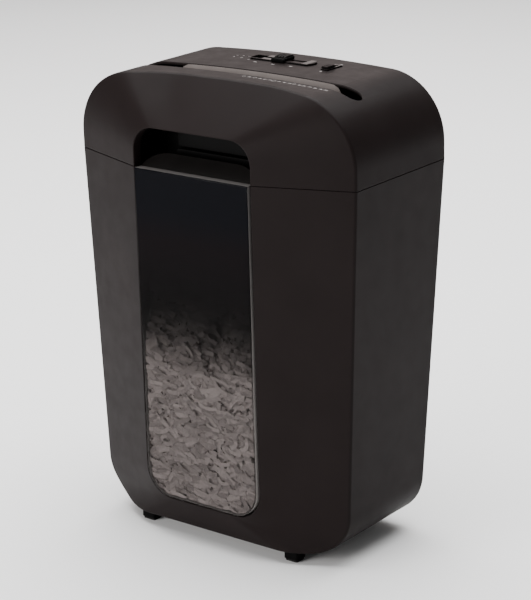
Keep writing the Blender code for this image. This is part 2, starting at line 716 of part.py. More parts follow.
def gear_outline(gear, centre, phase):
    teeth, module = gear
    pitch = 2.0*math.pi/teeth
    root = pitch_radius(gear) - 1.2*module
    tip = pitch_radius(gear) + 0.85*module
    points = []
    for tooth in range(teeth):
        middle = phase + pitch*tooth
        for radius, share in ((root, -0.28), (tip, -0.12), (tip, 0.12), (root, 0.28)):
            angle = middle + share*pitch
            points.append((centre[0] + radius*math.cos(angle), centre[1] + radius*math.sin(angle)))
    return points


def meshing_phase(phase, teeth, next_teeth, direction):
    """Phase that puts a gap of the next gear on a tooth of this one."""
    turn = (phase - direction)*teeth/next_teeth
    return direction + math.pi + math.pi/next_teeth - turn


def direction_between(start, end):
    return math.atan2(end[1] - start[1], end[0] - start[0])


def gears(head):
    front = (CUTTER_Y[0], CUTTER_Z)
    rear = (CUTTER_Y[1], CUTTER_Z)
    idler = idler_centre()
    shaft_bore = hole_radius(CUTTER_SHAFT_RADIUS + GAP, 12)

    sync_phase = meshing_phase(0.0, SYNC_GEAR[0], SYNC_GEAR[0], direction_between(rear, front))
    for row, centre, phase in (("rear", rear, 0.0), ("front", front, sync_phase)):
        loops = [gear_outline(SYNC_GEAR, centre, phase), circle(centre, shaft_bore, 12)]
        piece = extrude(loops, "X", *SYNC_X)
        add_object("sync_gear_" + row, piece, "cutter", pivot=(0.0, centre[0], CUTTER_Z), parent=head)

    loops = [gear_outline(DRIVE_GEAR, rear, 0.0), circle(rear, shaft_bore, 12)]
    piece = extrude(loops, "X", *DRIVE_X)
    add_object("drive_gear", piece, "gear", pivot=(0.0, rear[0], rear[1]), parent=head)

    pin_bore = circle(idler, hole_radius(IDLER_PIN_RADIUS + 0.1, 12), 12)
    pinion_phase = meshing_phase(0.0, DRIVE_GEAR[0], IDLER_PINION[0], direction_between(rear, idler))
    pinion = extrude([gear_outline(IDLER_PINION, idler, pinion_phase), pin_bore],
                     "X", DRIVE_X[0] - 0.2, IDLER_X[0] + 1.0)
    wheel = extrude([gear_outline(IDLER_WHEEL, idler, pinion_phase), pin_bore], "X", *IDLER_X)
    pivot = (0.0, idler[0], idler[1])
    idler_gear = add_object("idler_gear", wheel, "gear", pivot=pivot, parent=head)
    joined = add_object("idler_pinion_shape", pinion, "gear", pivot=pivot, parent=head)
    cut(idler_gear, joined, "UNION")
    pin_profile = ((IDLER_PIN_RADIUS, FRAME_X[0]), (IDLER_PIN_RADIUS, GEAR_SHAFT_END))
    pin = turned(pin_profile, idler, "X", 12)
    add_object("idler_pin", pin, "steel", parent=head, smooth=True)

    to_motor = direction_between(idler, MOTOR_YZ)
    motor_phase = meshing_phase(pinion_phase, IDLER_WHEEL[0], MOTOR_PINION[0], to_motor)
    loops = [gear_outline(MOTOR_PINION, MOTOR_YZ, motor_phase), circle(MOTOR_YZ, 2.35, 10)]
    piece = extrude(loops, "X", *IDLER_X)
    add_object("motor_pinion", piece, "bronze", pivot=(0.0, MOTOR_YZ[0], MOTOR_YZ[1]), parent=head)


def gear_cover(head):
    low_x = FRAME_X[1] + GAP
    high_x = 143.2
    wall = 2.0

    def outline(x, inset):
        corners = ((-50.0, 376.1), (66.0, 376.1), (66.0, 438.0), (54.0, 450.0), (-38.0, 450.0),
                   (-50.0, 438.0))
        points = []
        for y, z in corners:
            points.append((x, y - math.copysign(inset, y), z - math.copysign(inset, z - 410.0)))
        return points

    loops = [outline(high_x, 0.0), outline(low_x, 0.0), outline(low_x, wall), outline(high_x - wall, wall)]
    add_object("gear_cover", stack(loops), "dark", parent=head)


def motor(head):
    can_low = 40.0
    can_high = FRAME_X[0] - GAP
    radius = MOTOR_RADIUS
    wall = 1.8
    inside = radius - wall
    can = turned(((3.5, can_high), (radius, can_high), (radius, can_low), (inside, can_low),
                  (inside, can_high - wall), (3.5, can_high - wall)), MOTOR_YZ, "X", 20, ring=True)
    add_object("motor_can", can, "motor", parent=head, smooth=True)

    bell_high = can_low - GAP
    bell = turned(((3.5, bell_high - 3.0), (radius - 3.0, bell_high - 3.0), (radius, bell_high - 1.0),
                   (radius, bell_high), (inside - GAP, bell_high), (inside - GAP, can_low + 3.0),
                   (inside - 2.5, can_low + 3.0), (inside - 2.5, bell_high - 0.2), (3.5, bell_high - 0.2)),
                  MOTOR_YZ, "X", 20, ring=True)
    add_object("motor_end_bell", bell, "dark", parent=head, smooth=True)

    for name, middle in (("upper", 90.0), ("lower", 270.0)):
        outside = arc(MOTOR_YZ, inside - 0.8, middle - 60.0, middle + 60.0, 6)
        bore = arc(MOTOR_YZ, inside - 3.8, middle + 60.0, middle - 60.0, 6)
        magnet = extrude([outside + bore], "X", 52.0, 104.0)
        add_object("motor_magnet_" + name, magnet, "magnet", parent=head)

    profile = ((2.0, 33.0), (2.0, 47.0), (6.5, 47.0), (6.5, 55.0), (3.0, 55.0), (3.0, 57.0),
               (14.8, 57.0), (14.8, 100.0), (3.0, 100.0), (3.0, 108.0), (2.0, 108.0),
               (2.0, GEAR_SHAFT_END))
    rotor = turned(profile, MOTOR_YZ, "X", 14)
    pivot = (0.0, MOTOR_YZ[0], MOTOR_YZ[1])
    add_object("motor_rotor", rotor, "motor", pivot=pivot, parent=head, smooth=True)


# ---------------------------------------------------------------- electrics and controls

def electrics(head):
    board_z = (440.0, 441.6)
    top = board_z[1] + GAP
    add_object("control_board", box(-102.0, -30.0, 36.0, 79.0, *board_z), "board", parent=head)
    add_object("relay", box(-94.0, -75.0, 42.0, 57.0, top, 457.0), "component", parent=head)
    capacitor = turned(((6.0, top), (6.0, 459.0), (5.2, 460.0)), (-60.0, 66.0), "Z", 12)
    add_object("capacitor", capacitor, "component", parent=head, smooth=True)


def control_tray(head):
    """A plate under the cover with two islands that stand up through the cover's openings."""
    tray = add_object("control_tray", box(-41.0, 70.0, 32.0, 68.0, *TRAY_Z), "guide", parent=head)
    islands = ((MODE_RECESS, 9.0, MODE_ISLAND_TOP_Z), (LOCK_RECESS, 1.5, LOCK_ISLAND_TOP_Z))
    for (low_x, high_x, low_y, high_y), radius, top_z in islands:
        sides = (low_x + ISLAND_GAP, high_x - ISLAND_GAP, low_y + ISLAND_GAP, high_y - ISLAND_GAP)
        outline = rounded_rectangle(*sides, radius - ISLAND_GAP, 3)
        island = add_object("island_shape", extrude([outline], "Z", TRAY_Z[0] + 1.0, top_z), "guide",
                            parent=head)
        cut(tray, island, "UNION")
    for sides, radius, low_z in ((MODE_SLOT, 2.0, TRAY_Z[0] - 5.0), (LOCK_SLOT, 1.5, TRAY_Z[0] - 5.0),
                                 (MODE_POCKET, 2.0, TRAY_Z[1])):
        outline = rounded_rectangle(*sides, radius, 1)
        opening = add_object("opening_shape", extrude([outline], "Z", low_z, KNOB_TOP_Z), "guide",
                             parent=head)
        cut(tray, opening)


def mode_selector(head):
    middle_y = (MODE_SLOT[2] + MODE_SLOT[3])/2.0
    foot_z = MODE_ISLAND_TOP_Z + GAP
    loops = []
    for half_x, half_y, z in ((8.0, 8.3, foot_z), (8.0, 8.3, 480.0), (6.8, 7.5, KNOB_TOP_Z)):
        sides = (KNOB_X - half_x, KNOB_X + half_x, middle_y - half_y, middle_y + half_y)
        loops.append([(x, y, z) for x, y in rounded_rectangle(*sides, 2.5, 2)])
    pivot = (KNOB_X, middle_y, foot_z)
    knob = add_object("mode_knob", stack(loops), "dark", pivot=pivot, parent=head)
    stem = add_object("mode_stem_shape",
                      box(KNOB_X - 3.0, KNOB_X + 3.0, middle_y - 2.0, middle_y + 2.0, 467.0, 479.0),
                      "dark", pivot=pivot, parent=head)
    cut(knob, stem, "UNION")
    add_object("mode_switch_body", box(-24.0, 28.0, 40.0, 60.0, 453.0, 466.5), "component", parent=head)


def lock_control(head):
    middle_x = (LOCK_SLOT[0] + LOCK_SLOT[1])/2.0
    foot_z = LOCK_ISLAND_TOP_Z + GAP
    side = [(37.0, foot_z), (50.0, foot_z), (50.0, 477.8), (48.0, 478.8), (45.5, 478.0), (43.5, 479.0),
            (41.5, 478.0), (39.0, 478.8), (37.0, 477.8)]
    pivot = (middle_x, 43.5, foot_z)
    slider = add_object("lock_slider", extrude([side], "X", middle_x - 3.9, middle_x + 3.9), "dark",
                        pivot=pivot, parent=head)
    stem = add_object("lock_stem_shape", box(middle_x - 1.6, middle_x + 1.6, 39.5, 46.0, 467.0, 477.5),
                      "dark", pivot=pivot, parent=head)
    cut(slider, stem, "UNION")


def indicator_lenses(head):
    for index, x in enumerate(LENS_X):
        top_z = SHOULDER_TOP_Z + CROWN_RISE*(1.0 - (x/(SEAM_HALF_WIDTH - SHOULDER_RADIUS))**2)
        lens = turned(((1.5, 462.0), (1.5, top_z + 0.1)), (x, LENS_Y), "Z", 8)
        add_object("indicator_lens_" + str(index + 1), lens, "lens", parent=head, smooth=True)


def interlock(head):
    x, y = PLUNGER_XY
    low, high = PLUNGER_Z
    profile = ((1.6, low), (2.5, low + 1.2), (2.5, 377.0), (4.5, 377.0), (4.5, 379.0), (2.5, 379.0),
               (2.5, high))
    pin = turned(profile, (x, y), "Z", 10)
    add_object("interlock_plunger", pin, "gear", pivot=(x, y, low), parent=head, smooth=True)
    switch = box(x - 7.0, x + 7.0, y - 7.0, y + 7.0, high + GAP, 403.0)
    add_object("interlock_switch", switch, "component", parent=head)


def build():
    clear_scene()
    bin_shell()
    window_panel()
    grip_tab()
    bin_feet()
    shredded_paper()
    interlock_post()
    head = add_empty("head_lift_axis", (0.0, 0.0, SEAM_Z))
    head_cover(head)
    head_base(head)
    base_screws(head)
    grip_well(head)
    cord_gland(head)
    throat_guides(head)
    paper_sensor(head)
    frame_plates(head)
    tie_rods(head)
    bushes(head)
    cutters(head)
    stripper_combs(head)
    gears(head)
    gear_cover(head)
    motor(head)
    electrics(head)
    control_tray(head)
    mode_selector(head)
    lock_control(head)
    indicator_lenses(head)
    interlock(head)


build()
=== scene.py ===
"""Looks for the paper shredder: fine casings, smoked window, shreds, controls, light and camera.

Lengths are in millimetres until a mesh is made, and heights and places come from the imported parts.
X runs across the front, -Y faces the viewer of the window and Z is up.
"""

import json
import math
import random

import bmesh
import bpy
from mathutils import Matrix, Vector


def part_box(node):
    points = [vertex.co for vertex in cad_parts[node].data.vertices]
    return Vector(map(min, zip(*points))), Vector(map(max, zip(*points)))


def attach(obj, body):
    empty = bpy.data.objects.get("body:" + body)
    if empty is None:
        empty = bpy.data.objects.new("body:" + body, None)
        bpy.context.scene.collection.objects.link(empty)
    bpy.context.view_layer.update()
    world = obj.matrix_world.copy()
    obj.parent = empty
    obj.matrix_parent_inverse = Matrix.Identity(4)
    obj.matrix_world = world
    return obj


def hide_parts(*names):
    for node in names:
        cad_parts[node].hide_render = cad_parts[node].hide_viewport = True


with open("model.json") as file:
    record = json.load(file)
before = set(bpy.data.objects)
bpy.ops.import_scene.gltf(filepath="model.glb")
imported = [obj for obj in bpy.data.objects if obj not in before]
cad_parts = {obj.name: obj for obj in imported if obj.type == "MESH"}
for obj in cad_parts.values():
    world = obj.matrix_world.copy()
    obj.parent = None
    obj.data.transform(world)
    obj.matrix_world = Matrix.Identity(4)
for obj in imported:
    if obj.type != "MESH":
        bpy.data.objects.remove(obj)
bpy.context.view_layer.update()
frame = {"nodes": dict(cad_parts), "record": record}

MM = 0.001


def node_box(node):
    """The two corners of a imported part's box, in millimetres."""
    low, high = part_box(node)
    return low/MM, high/MM


bin_low, bin_high = node_box("bin_shell")
cover_low, cover_high = node_box("head_cover")
window_low, window_high = node_box("window_panel")
tab_low, tab_high = node_box("grip_tab")
well_low, well_high = node_box("grip_well")
tray_low, tray_high = node_box("control_tray")
knob_low, knob_high = node_box("mode_knob")
lock_low, lock_high = node_box("lock_slider")
guide_low, guide_high = node_box("throat_guide_rear")
gland_low, gland_high = node_box("cord_gland")

# Casing
SEAM_HALF_WIDTH = cover_high.x
SIDE_FRONT_Y = -64.5
SIDE_REAR_Y = 87.5
CREST_FRONT_Y = -47.5
RIM_Y = cover_low.y
LIP_BACK_Y = -88.5
REAR_PANEL_Y = cover_high.y
REAR_PANEL_HALF_WIDTH = 112.0
REAR_PANEL_TOP_Z = 445.0
REAR_PANEL_RADIUS = 40.0
PANEL_STEP = 0.5                 # how much smaller the rear panel is on the inside of the wall
SHOULDER_RADIUS = 65.0
CROWN_RISE = 2.7
SHOULDER_TOP_Z = cover_high.z - CROWN_RISE
CROWN_HALF_WIDTH = SEAM_HALF_WIDTH - SHOULDER_RADIUS
NOTCH_HALF_WIDTH = 72.0
NOTCH_TOP_Z = 431.0
NOTCH_RADIUS = 24.0
CREST_BEND = (55.0, 152.0)       # the crest comes forward between these, left and right
EDGE_ROUND = 3.0                 # a bevel weight of one rounds an edge by this much
SEAM_EDGE_WEIGHT = 0.25
FRONT_SLOPES = 5                 # rows of faces on the sloped front, less one
WALL = 2.6
SLOT_CUT_Z = 440.0               # how low the tools reach that open the top
CONTROL_CUT_Z = 464.0
GLAND_NECK_RADIUS = 7.9
LENS_HALF_WIDTH = 1.9

# Bin and window
BIN_WALL = 3.0
BIN_LOW_HALF_WIDTH = 156.8
BIN_CORNER_RADIUS = 45.0
BIN_REAR_SLOPE = 0.06
BIN_PANEL_HALF_WIDTH = 108.0
BIN_PANEL_LOW_Z = 48.0
BIN_PANEL_RADIUS = 36.0
BIN_TUCK = 24.0                  # how far the middle of the foot's front edge stands before its sides
BIN_TUCK_TOP_Z = 200.0
BIN_TUCK_BEND = (85.0, 150.0)
WINDOW_GAP = 2.0
WINDOW_BOTTOM_Z = 46.0
WINDOW_RADIUS = 29.0
WINDOW_TRAY_DEPTH = 13.8
WINDOW_WALL = 1.6

# Paper slot
MOUTH_START_X = 76.0             # the guides' mouth falls away beyond these, left and right
MOUTH_END_X = 98.5
MOUTH_RADIUS = 15.0
MOUTH_FOOT_Z = 448.0
MOUTH_LOWEST_Z = 449.5

# Paper
HEAP_TOP_Z = 242.0
HEAP_FRONT_Y = -52.0             # the heap's front beside the window
HEAP_REAR_Y = 54.0
HEAP_WINDOW_Y = -99.2            # its front low down behind the window
HEAP_FALL = 48.0                 # how far it falls back there between two heights
HEAP_FALL_Z = (190.0, 280.0)
SHRED_THICKNESS = 0.12

# Lifting cutout
TAB_CREST_HALF_WIDTH = 40.0
TAB_THICKNESS = 2.5
WELL_LEDGES = ((396.8, 404.6, 9.0), (406.0, 422.0, 6.0))     # foot and top of each, and its depth

# Top
SLOT_HALF_LENGTH = 139.0
SLOT_Y = (-21.5, -2.5)
MODE_RECESS = (-38.0, 40.0, 41.0, 61.0)
MODE_RADIUS = 9.0
LOCK_RECESS = (57.0, 66.5, 36.0, 62.5)
MODE_SLOT = (-25.0, 30.0, 48.0, 53.0)
LOCK_SLOT = (59.8, 63.8, 38.0, 60.0)
MODE_POCKET = (-35.0, -20.0, 43.5, 57.0)
TRAY_TOP_Z = 472.0
LOCK_ISLAND_TOP_Z = 476.4
ISLAND_GAP = 0.4
ISLAND_CAP = 0.5
INLAY_EDGE = 0.4
MARK_THICKNESS = 0.12
MARK_DEPTH = 0.1
LENS_X = (-58.0, -50.5, -43.0)
LENS_Y = 52.0
ICON_ROW = (13.0, 115.0)
ICON_ROW_Y = -28.6
POSITION_MARKS = ((-19.8, 31.5), (3.1, 30.5), (24.3, 31.8))
LOCK_MARKS = ((61.9, 30.9), (61.6, 66.4))
LENS_MARKS = ((-57.4, 44.8), (-46.2, 42.9), (-33.2, 37.6))

CORNER_STEPS = 20
SIDE_STEPS = 8
CROWN_STEPS = 16


# ---------------------------------------------------------------- materials

def new_material(name):
    """A new material with its node tree and its one shader."""
    made = bpy.data.materials.new(name)
    made.use_nodes = True
    tree = made.node_tree
    shader = tree.nodes["Principled BSDF"]
    return made, tree, shader


def noise(tree, scale, detail=3.0, roughness=0.55):
    """Noise in the object's own coordinates; a scale of 100 has features of about 10 mm."""
    place = tree.nodes.new("ShaderNodeTexCoord")
    texture = tree.nodes.new("ShaderNodeTexNoise")
    texture.inputs["Scale"].default_value = scale
    texture.inputs["Detail"].default_value = detail
    texture.inputs["Roughness"].default_value = roughness
    tree.links.new(place.outputs["Object"], texture.inputs["Vector"])
    return texture.outputs["Fac"]


def ramp(tree, value, low, high, dark, light):
    """Colour that goes from dark to light as value goes from low to high."""
    made = tree.nodes.new("ShaderNodeValToRGB")
    made.color_ramp.elements[0].position = low
    made.color_ramp.elements[1].position = high
    made.color_ramp.elements[0].color = (*dark, 1.0)
    made.color_ramp.elements[1].color = (*light, 1.0)
    tree.links.new(value, made.inputs["Fac"])
    return made.outputs["Color"]


def spread(tree, value, low, high):
    """Value that goes from low to high over the middle of a noise's range."""
    made = tree.nodes.new("ShaderNodeMapRange")
    made.inputs["From Min"].default_value = 0.3
    made.inputs["From Max"].default_value = 0.7
    made.inputs["To Min"].default_value = low
    made.inputs["To Max"].default_value = high
    tree.links.new(value, made.inputs["Value"])
    return made.outputs["Result"]


def by_height(tree, low_z, high_z, low_value, high_value):
    """Value that passes smoothly from one to the other between two heights in millimetres."""
    place = tree.nodes.new("ShaderNodeTexCoord")
    parts = tree.nodes.new("ShaderNodeSeparateXYZ")
    made = tree.nodes.new("ShaderNodeMapRange")
    made.interpolation_type = "SMOOTHSTEP"
    made.inputs["From Min"].default_value = low_z*MM
    made.inputs["From Max"].default_value = high_z*MM
    made.inputs["To Min"].default_value = low_value
    made.inputs["To Max"].default_value = high_value
    tree.links.new(place.outputs["Object"], parts.inputs["Vector"])
    tree.links.new(parts.outputs["Z"], made.inputs["Value"])
    return made.outputs["Result"]


def bump(tree, shader, value, strength, distance):
    """Let a value raise and lower the surface by up to a distance in metres."""
    made = tree.nodes.new("ShaderNodeBump")
    made.inputs["Strength"].default_value = strength
    made.inputs["Distance"].default_value = distance
    tree.links.new(value, made.inputs["Height"])
    tree.links.new(made.outputs["Normal"], shader.inputs["Normal"])


def surface(tree, shader, tone, scale, low, high, specular=0.5):
    """Give a shader its colour, and a roughness that wanders between two values."""
    tree.links.new(tone, shader.inputs["Base Color"])
    tree.links.new(spread(tree, noise(tree, scale), low, high), shader.inputs["Roughness"])
    shader.inputs["Specular IOR Level"].default_value = specular


def scaled(colour, factor):
    """The same colour, brighter or darker."""
    return tuple(channel*factor for channel in colour)


def moulded_plastic(name, colour, roughness, grain=900.0, depth=0.00006, specular=0.5):
    """Moulded plastic with a fine spark-eroded grain and slightly uneven tone and gloss."""
    made, tree, shader = new_material(name)
    tone = ramp(tree, noise(tree, 14.0), 0.35, 0.65, scaled(colour, 0.93), scaled(colour, 1.07))
    surface(tree, shader, tone, 60.0, roughness - 0.04, roughness + 0.05, specular)
    bump(tree, shader, noise(tree, grain, 2.0), 0.35, depth)
    return made


def gloss_plastic(name, colour, roughness, specular=0.5):
    """Smooth plastic with a faint waviness."""
    made, tree, shader = new_material(name)
    tone = ramp(tree, noise(tree, 40.0), 0.3, 0.7, scaled(colour, 0.9), scaled(colour, 1.1))
    surface(tree, shader, tone, 240.0, roughness - 0.03, roughness + 0.05, specular)
    bump(tree, shader, noise(tree, 120.0, 1.0), 0.1, 0.00004)
    return made


def pane_with_painted_shade(name):
    """Dark see-through plastic graded by height: clearer at its foot, almost black and a little blue at
    its top, where its darker tone and greater density are painted shade for the bin's dim upper part.
    """
    made, tree, shader = new_material(name)
    share = by_height(tree, *PANE_SHADE_Z, 0.0, 1.0)
    tone = ramp(tree, share, 0.0, 0.95, PANE_FOOT, PANE_HIGH)
    stops = tone.node.color_ramp.elements
    for position, colour in ((0.5, PANE_LOW), (0.86, PANE_BAND)):
        stops.new(position).color = (*colour, 1.0)
    surface(tree, shader, tone, 30.0, 0.05, 0.09, 0.03)
    shade_density = by_height(tree, *PANE_DENSITY_SHADE_Z, *PANE_SHADE_DENSITY)
    tree.links.new(shade_density, shader.inputs["Alpha"])
    return made


def edging_plastic_with_painted_light(name, low_colour, high_colour, roughness):
    """Plastic that gets darker from the window's foot to its top: pale low down as a painted highlight
    along the window's lower edge, darker higher up as painted shade.
    """
    made, tree, shader = new_material(name)
    share = by_height(tree, *EDGING_SHADE_Z, 0.0, 1.0)
    tone = ramp(tree, share, 0.0, 1.0, low_colour, high_colour)
    surface(tree, shader, tone, 90.0, roughness - 0.03, roughness + 0.05, 0.1)
    bump(tree, shader, noise(tree, 120.0, 1.0), 0.1, 0.00004)
    return made


def metal(name, colour, roughness, streaks, along):
    """Drawn or ground metal, with streaks that run along one axis."""
    made, tree, shader = new_material(name)
    place = tree.nodes.new("ShaderNodeTexCoord")
    stretch = tree.nodes.new("ShaderNodeMapping")
    stretch.inputs["Scale"].default_value = tuple(0.04 if axis == along else 1.0 for axis in "XYZ")
    streak = tree.nodes.new("ShaderNodeTexNoise")
    streak.inputs["Scale"].default_value = streaks
    streak.inputs["Detail"].default_value = 4.0
    tree.links.new(place.outputs["Object"], stretch.inputs["Vector"])
    tree.links.new(stretch.outputs["Vector"], streak.inputs["Vector"])
    tone = ramp(tree, streak.outputs["Fac"], 0.3, 0.7, scaled(colour, 0.8), scaled(colour, 1.12))
    surface(tree, shader, tone, 90.0, roughness - 0.08, roughness + 0.1)
    shader.inputs["Metallic"].default_value = 1.0
    bump(tree, shader, streak.outputs["Fac"], 0.2, 0.00005)
    return made


def paper(name):
    """Office paper: each shred its own grey or cream, with faint print on some of them."""
    made, tree, shader = new_material(name)
    island = tree.nodes.new("ShaderNodeNewGeometry")
    tone = ramp(tree, island.outputs["Random Per Island"], 0.0, 1.0, PAPER_DULL, PAPER_BRIGHT)
    print_tone = ramp(tree, noise(tree, 620.0, 2.0), 0.34, 0.46, (0.9, 0.9, 0.91), (1.0, 1.0, 1.0))
    mix = tree.nodes.new("ShaderNodeMix")
    mix.data_type = "RGBA"
    mix.blend_type = "MULTIPLY"
    mix.inputs["Factor"].default_value = 1.0
    tree.links.new(tone, mix.inputs["A"])
    tree.links.new(print_tone, mix.inputs["B"])
    surface(tree, shader, mix.outputs["Result"], 500.0, 0.82, 0.95)
    bump(tree, shader, noise(tree, 1600.0, 2.0), 0.25, 0.00004)
    return made


CASING = (0.0094, 0.0068, 0.0067)
# The pane's colours darken from its foot to its top: painted shade for the bin's upper part.
PANE_FOOT = (0.0130, 0.0115, 0.0112)
PANE_LOW = (0.0020, 0.0018, 0.0018)
PANE_BAND = (0.0030, 0.0019, 0.0024)
PANE_HIGH = (0.0016, 0.0017, 0.0029)
# Painted shade: the heights over which the pane darkens and grows denser.
PANE_SHADE_Z = (100.0, 390.0)
PANE_DENSITY_SHADE_Z = (165.0, 315.0)     # the pane lets most light through below these heights, least above
PANE_SHADE_DENSITY = (0.38, 0.95)
# Painted highlight and shade: the window's edging goes from pale to dark between these heights.
EDGING_SHADE_Z = (60.0, 380.0)
PAPER_DULL = (0.34, 0.288, 0.276)
PAPER_BRIGHT = (0.66, 0.568, 0.545)

MATERIALS = {
    "casing": moulded_plastic("casing_plastic", CASING, 0.42, specular=0.04),
    "black_plastic": moulded_plastic("black_plastic", (0.0019, 0.0018, 0.0018), 0.45, specular=0.03),
    # painted shade: the pane darkens and grows denser towards its top
    "window": pane_with_painted_shade("smoked_window_painted_shade"),
    # painted highlight low down and painted shade towards the top of the window's edging
    "window_edge": edging_plastic_with_painted_light("window_edge", (0.26, 0.24, 0.23), (0.11, 0.103, 0.100), 0.3),
    "knob_grey": moulded_plastic("knob_grey", (0.0066, 0.0056, 0.0054), 0.5, specular=0.05),
    "gloss_trim": gloss_plastic("dark_gloss", (0.0075, 0.0068, 0.0066), 0.22, 0.06),
    "paper": paper("shred_paper"),
    "recess_floor": gloss_plastic("recess_floor", (0.050, 0.0435, 0.042), 0.35, 0.1),
    "guide_plastic": gloss_plastic("guide_plastic", (0.145, 0.126, 0.119), 0.32, 0.1),
    "steel_plate": metal("plated_steel", (0.46, 0.46, 0.47), 0.34, 700.0, "Y"),
    "cutter_steel": metal("cutter_steel", (0.33, 0.33, 0.35), 0.28, 900.0, "Y"),
    "nylon": moulded_plastic("nylon", (0.58, 0.56, 0.50), 0.45, 400.0),
    "brass": metal("sintered_bronze", (0.50, 0.34, 0.16), 0.4, 1200.0, "X"),
    "ferrite": moulded_plastic("ferrite", (0.05, 0.05, 0.052), 0.7, 500.0),
    "circuit_board": gloss_plastic("solder_mask", (0.015, 0.11, 0.05), 0.3),
    "component": moulded_plastic("component_case", (0.02, 0.02, 0.024), 0.4),
    "rubber": moulded_plastic("rubber", (0.008, 0.0076, 0.0075), 0.8, 600.0, specular=0.12),
    "lens": gloss_plastic("lens", (0.035, 0.034, 0.036), 0.12),
    "ink": moulded_plastic("white_ink", (0.22, 0.207, 0.202), 0.6, 1500.0, specular=0.1),
}


# ---------------------------------------------------------------- mesh tools

def add_mesh(name, edit, material):
    """Turn an edit mesh in millimetres into an object in metres."""
    for vertex in edit.verts:
        vertex.co = vertex.co*MM
    bmesh.ops.recalc_face_normals(edit, faces=edit.faces)
    mesh = bpy.data.meshes.new(name)
    edit.to_mesh(mesh)
    edit.free()
    mesh.materials.append(MATERIALS[material])
    made = bpy.data.objects.new(name, mesh)
    bpy.context.scene.collection.objects.link(made)
    return made


def settle(item):
    """Apply an object's modifiers to its mesh."""
    bpy.context.view_layer.update()
    evaluated = item.evaluated_get(bpy.context.evaluated_depsgraph_get())
    mesh = bpy.data.meshes.new_from_object(evaluated)
    item.modifiers.clear()
    item.data = mesh


def round_marked_edges(item):
    """Round the edges that have a bevel weight, each by its own share of the full radius."""
    modifier = item.modifiers.new("Rounded edges", "BEVEL")
    modifier.limit_method = "WEIGHT"
    modifier.width = EDGE_ROUND*MM
    modifier.segments = 4
    modifier.use_clamp_overlap = False


def round_sharp_edges(item, radius, segments):
    """Round every edge whose faces meet at a sharp angle."""
    modifier = item.modifiers.new("Rounded edges", "BEVEL")
    modifier.limit_method = "ANGLE"
    modifier.angle_limit = math.radians(35.0)
    modifier.width = radius*MM
    modifier.segments = segments


def carve(item, edit):
    """Cut the shape of an edit mesh out of an object."""
    cutter = add_mesh("carving_tool", edit, "casing")
    modifier = item.modifiers.new("Opening", "BOOLEAN")
    modifier.operation = "DIFFERENCE"
    modifier.solver = "EXACT"
    modifier.object = cutter
    settle(item)
    bpy.data.objects.remove(cutter, do_unlink=True)


def finish_piece(item, body, replaced=(), smooth=35.0):
    """Shade a piece and say which body it rides on and the CAD parts it stands for."""
    settle(item)
    item.data.shade_smooth()
    item.data.set_sharp_from_angle(angle=math.radians(smooth))
    weighted = item.modifiers.new("Even shading", "WEIGHTED_NORMAL")
    weighted.keep_sharp = True
    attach(item, body)
    if replaced:
        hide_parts(*replaced)


def add_piece(name, edit, material, body, replaced=(), smooth=35.0, edge=0.0, segments=3):
    """Make and finish a piece in one go, its sharp edges rounded by edge in millimetres.
    """
    made = add_mesh(name, edit, material)
    if edge > 0.0:
        round_sharp_edges(made, edge, segments)
    finish_piece(made, body, replaced, smooth)


def stack(loops, ring=False):
    """Join closed loops of equally many points, filling the two ends unless it is a ring."""
    edit = bmesh.new()
    rows = [[edit.verts.new(point) for point in loop] for loop in loops]
    pairs = list(zip(rows, rows[1:]))
    if ring:
        pairs.append((rows[-1], rows[0]))
    else:
        edit.faces.new(rows[0])
        edit.faces.new(rows[-1])
    for near, far in pairs:
        for index in range(len(near)):
            after = (index + 1) % len(near)
            edit.faces.new((near[index], near[after], far[after], far[index]))
    return edit


def join(edits):
    """Put several edit meshes into one."""
    whole = bmesh.new()
    for edit in edits:
        scratch = bpy.data.meshes.new("scratch")
        edit.to_mesh(scratch)
        edit.free()
        whole.from_mesh(scratch)
        bpy.data.meshes.remove(scratch)
    return whole


def prism(outline, low_z, high_z):
    """A solid with upright sides from a plan outline and its two heights."""
    return stack([[(x, y, z) for x, y in outline] for z in (low_z, high_z)])


def block(low, high):
    """A box from its two opposite corners."""
    corners = ((low[0], low[1]), (high[0], low[1]), (high[0], high[1]), (low[0], high[1]))
    return prism(corners, low[2], high[2])


def between(near, far, count):
    """Loops evenly spaced between two loops, without the two themselves."""
    rows = []
    for step in range(1, count + 1):
        share = step/(count + 1)
        rows.append([tuple(Vector(a).lerp(Vector(b), share)) for a, b in zip(near, far)])
    return rows


def shell(outer_rows, inner_rows, weights, seam_weight):
    """A closed wall between two nests of open U lines, with bevel weights on its edges.

    weights gives a weight to outer rows by their number, and seam_weight is for the outer edge of
    the feet of the U lines, where the head and the bin meet.
    """
    edit = bmesh.new()
    weight_layer = edit.edges.layers.float.new("bevel_weight_edge")
    nests = []
    for rows in (outer_rows, inner_rows):
        nests.append([[edit.verts.new(point) for point in row] for row in rows])
    for rows in nests:
        for near, far in zip(rows, rows[1:]):
            for index in range(len(near) - 1):
                edit.faces.new((near[index], near[index + 1], far[index + 1], far[index]))
        edit.faces.new(rows[-1])
    edges = []
    for rows in nests:
        right = [row[0] for row in rows]
        left = [row[-1] for row in reversed(rows)]
        edges.append(right + left)
    # the notch's own lines are open walls, so the feet are two strips joined along the first rows
    outer_edge, inner_edge = edges
    for index in range(len(outer_edge) - 1):
        corner = (outer_edge[index], outer_edge[index + 1], inner_edge[index + 1], inner_edge[index])
        edit.faces.new(corner)
    first_outer, first_inner = nests[0][0], nests[1][0]
    for index in range(len(first_outer) - 1):
        corner = (first_outer[index], first_outer[index + 1], first_inner[index + 1], first_inner[index])
        edit.faces.new(corner)
    for number, weight in weights.items():
        row = nests[0][number]
        for near, far in zip(row, row[1:]):
            edit.edges.get((near, far))[weight_layer] = weight
    for near, far in zip(outer_edge, outer_edge[1:]):
        edit.edges.get((near, far))[weight_layer] = seam_weight
    return edit


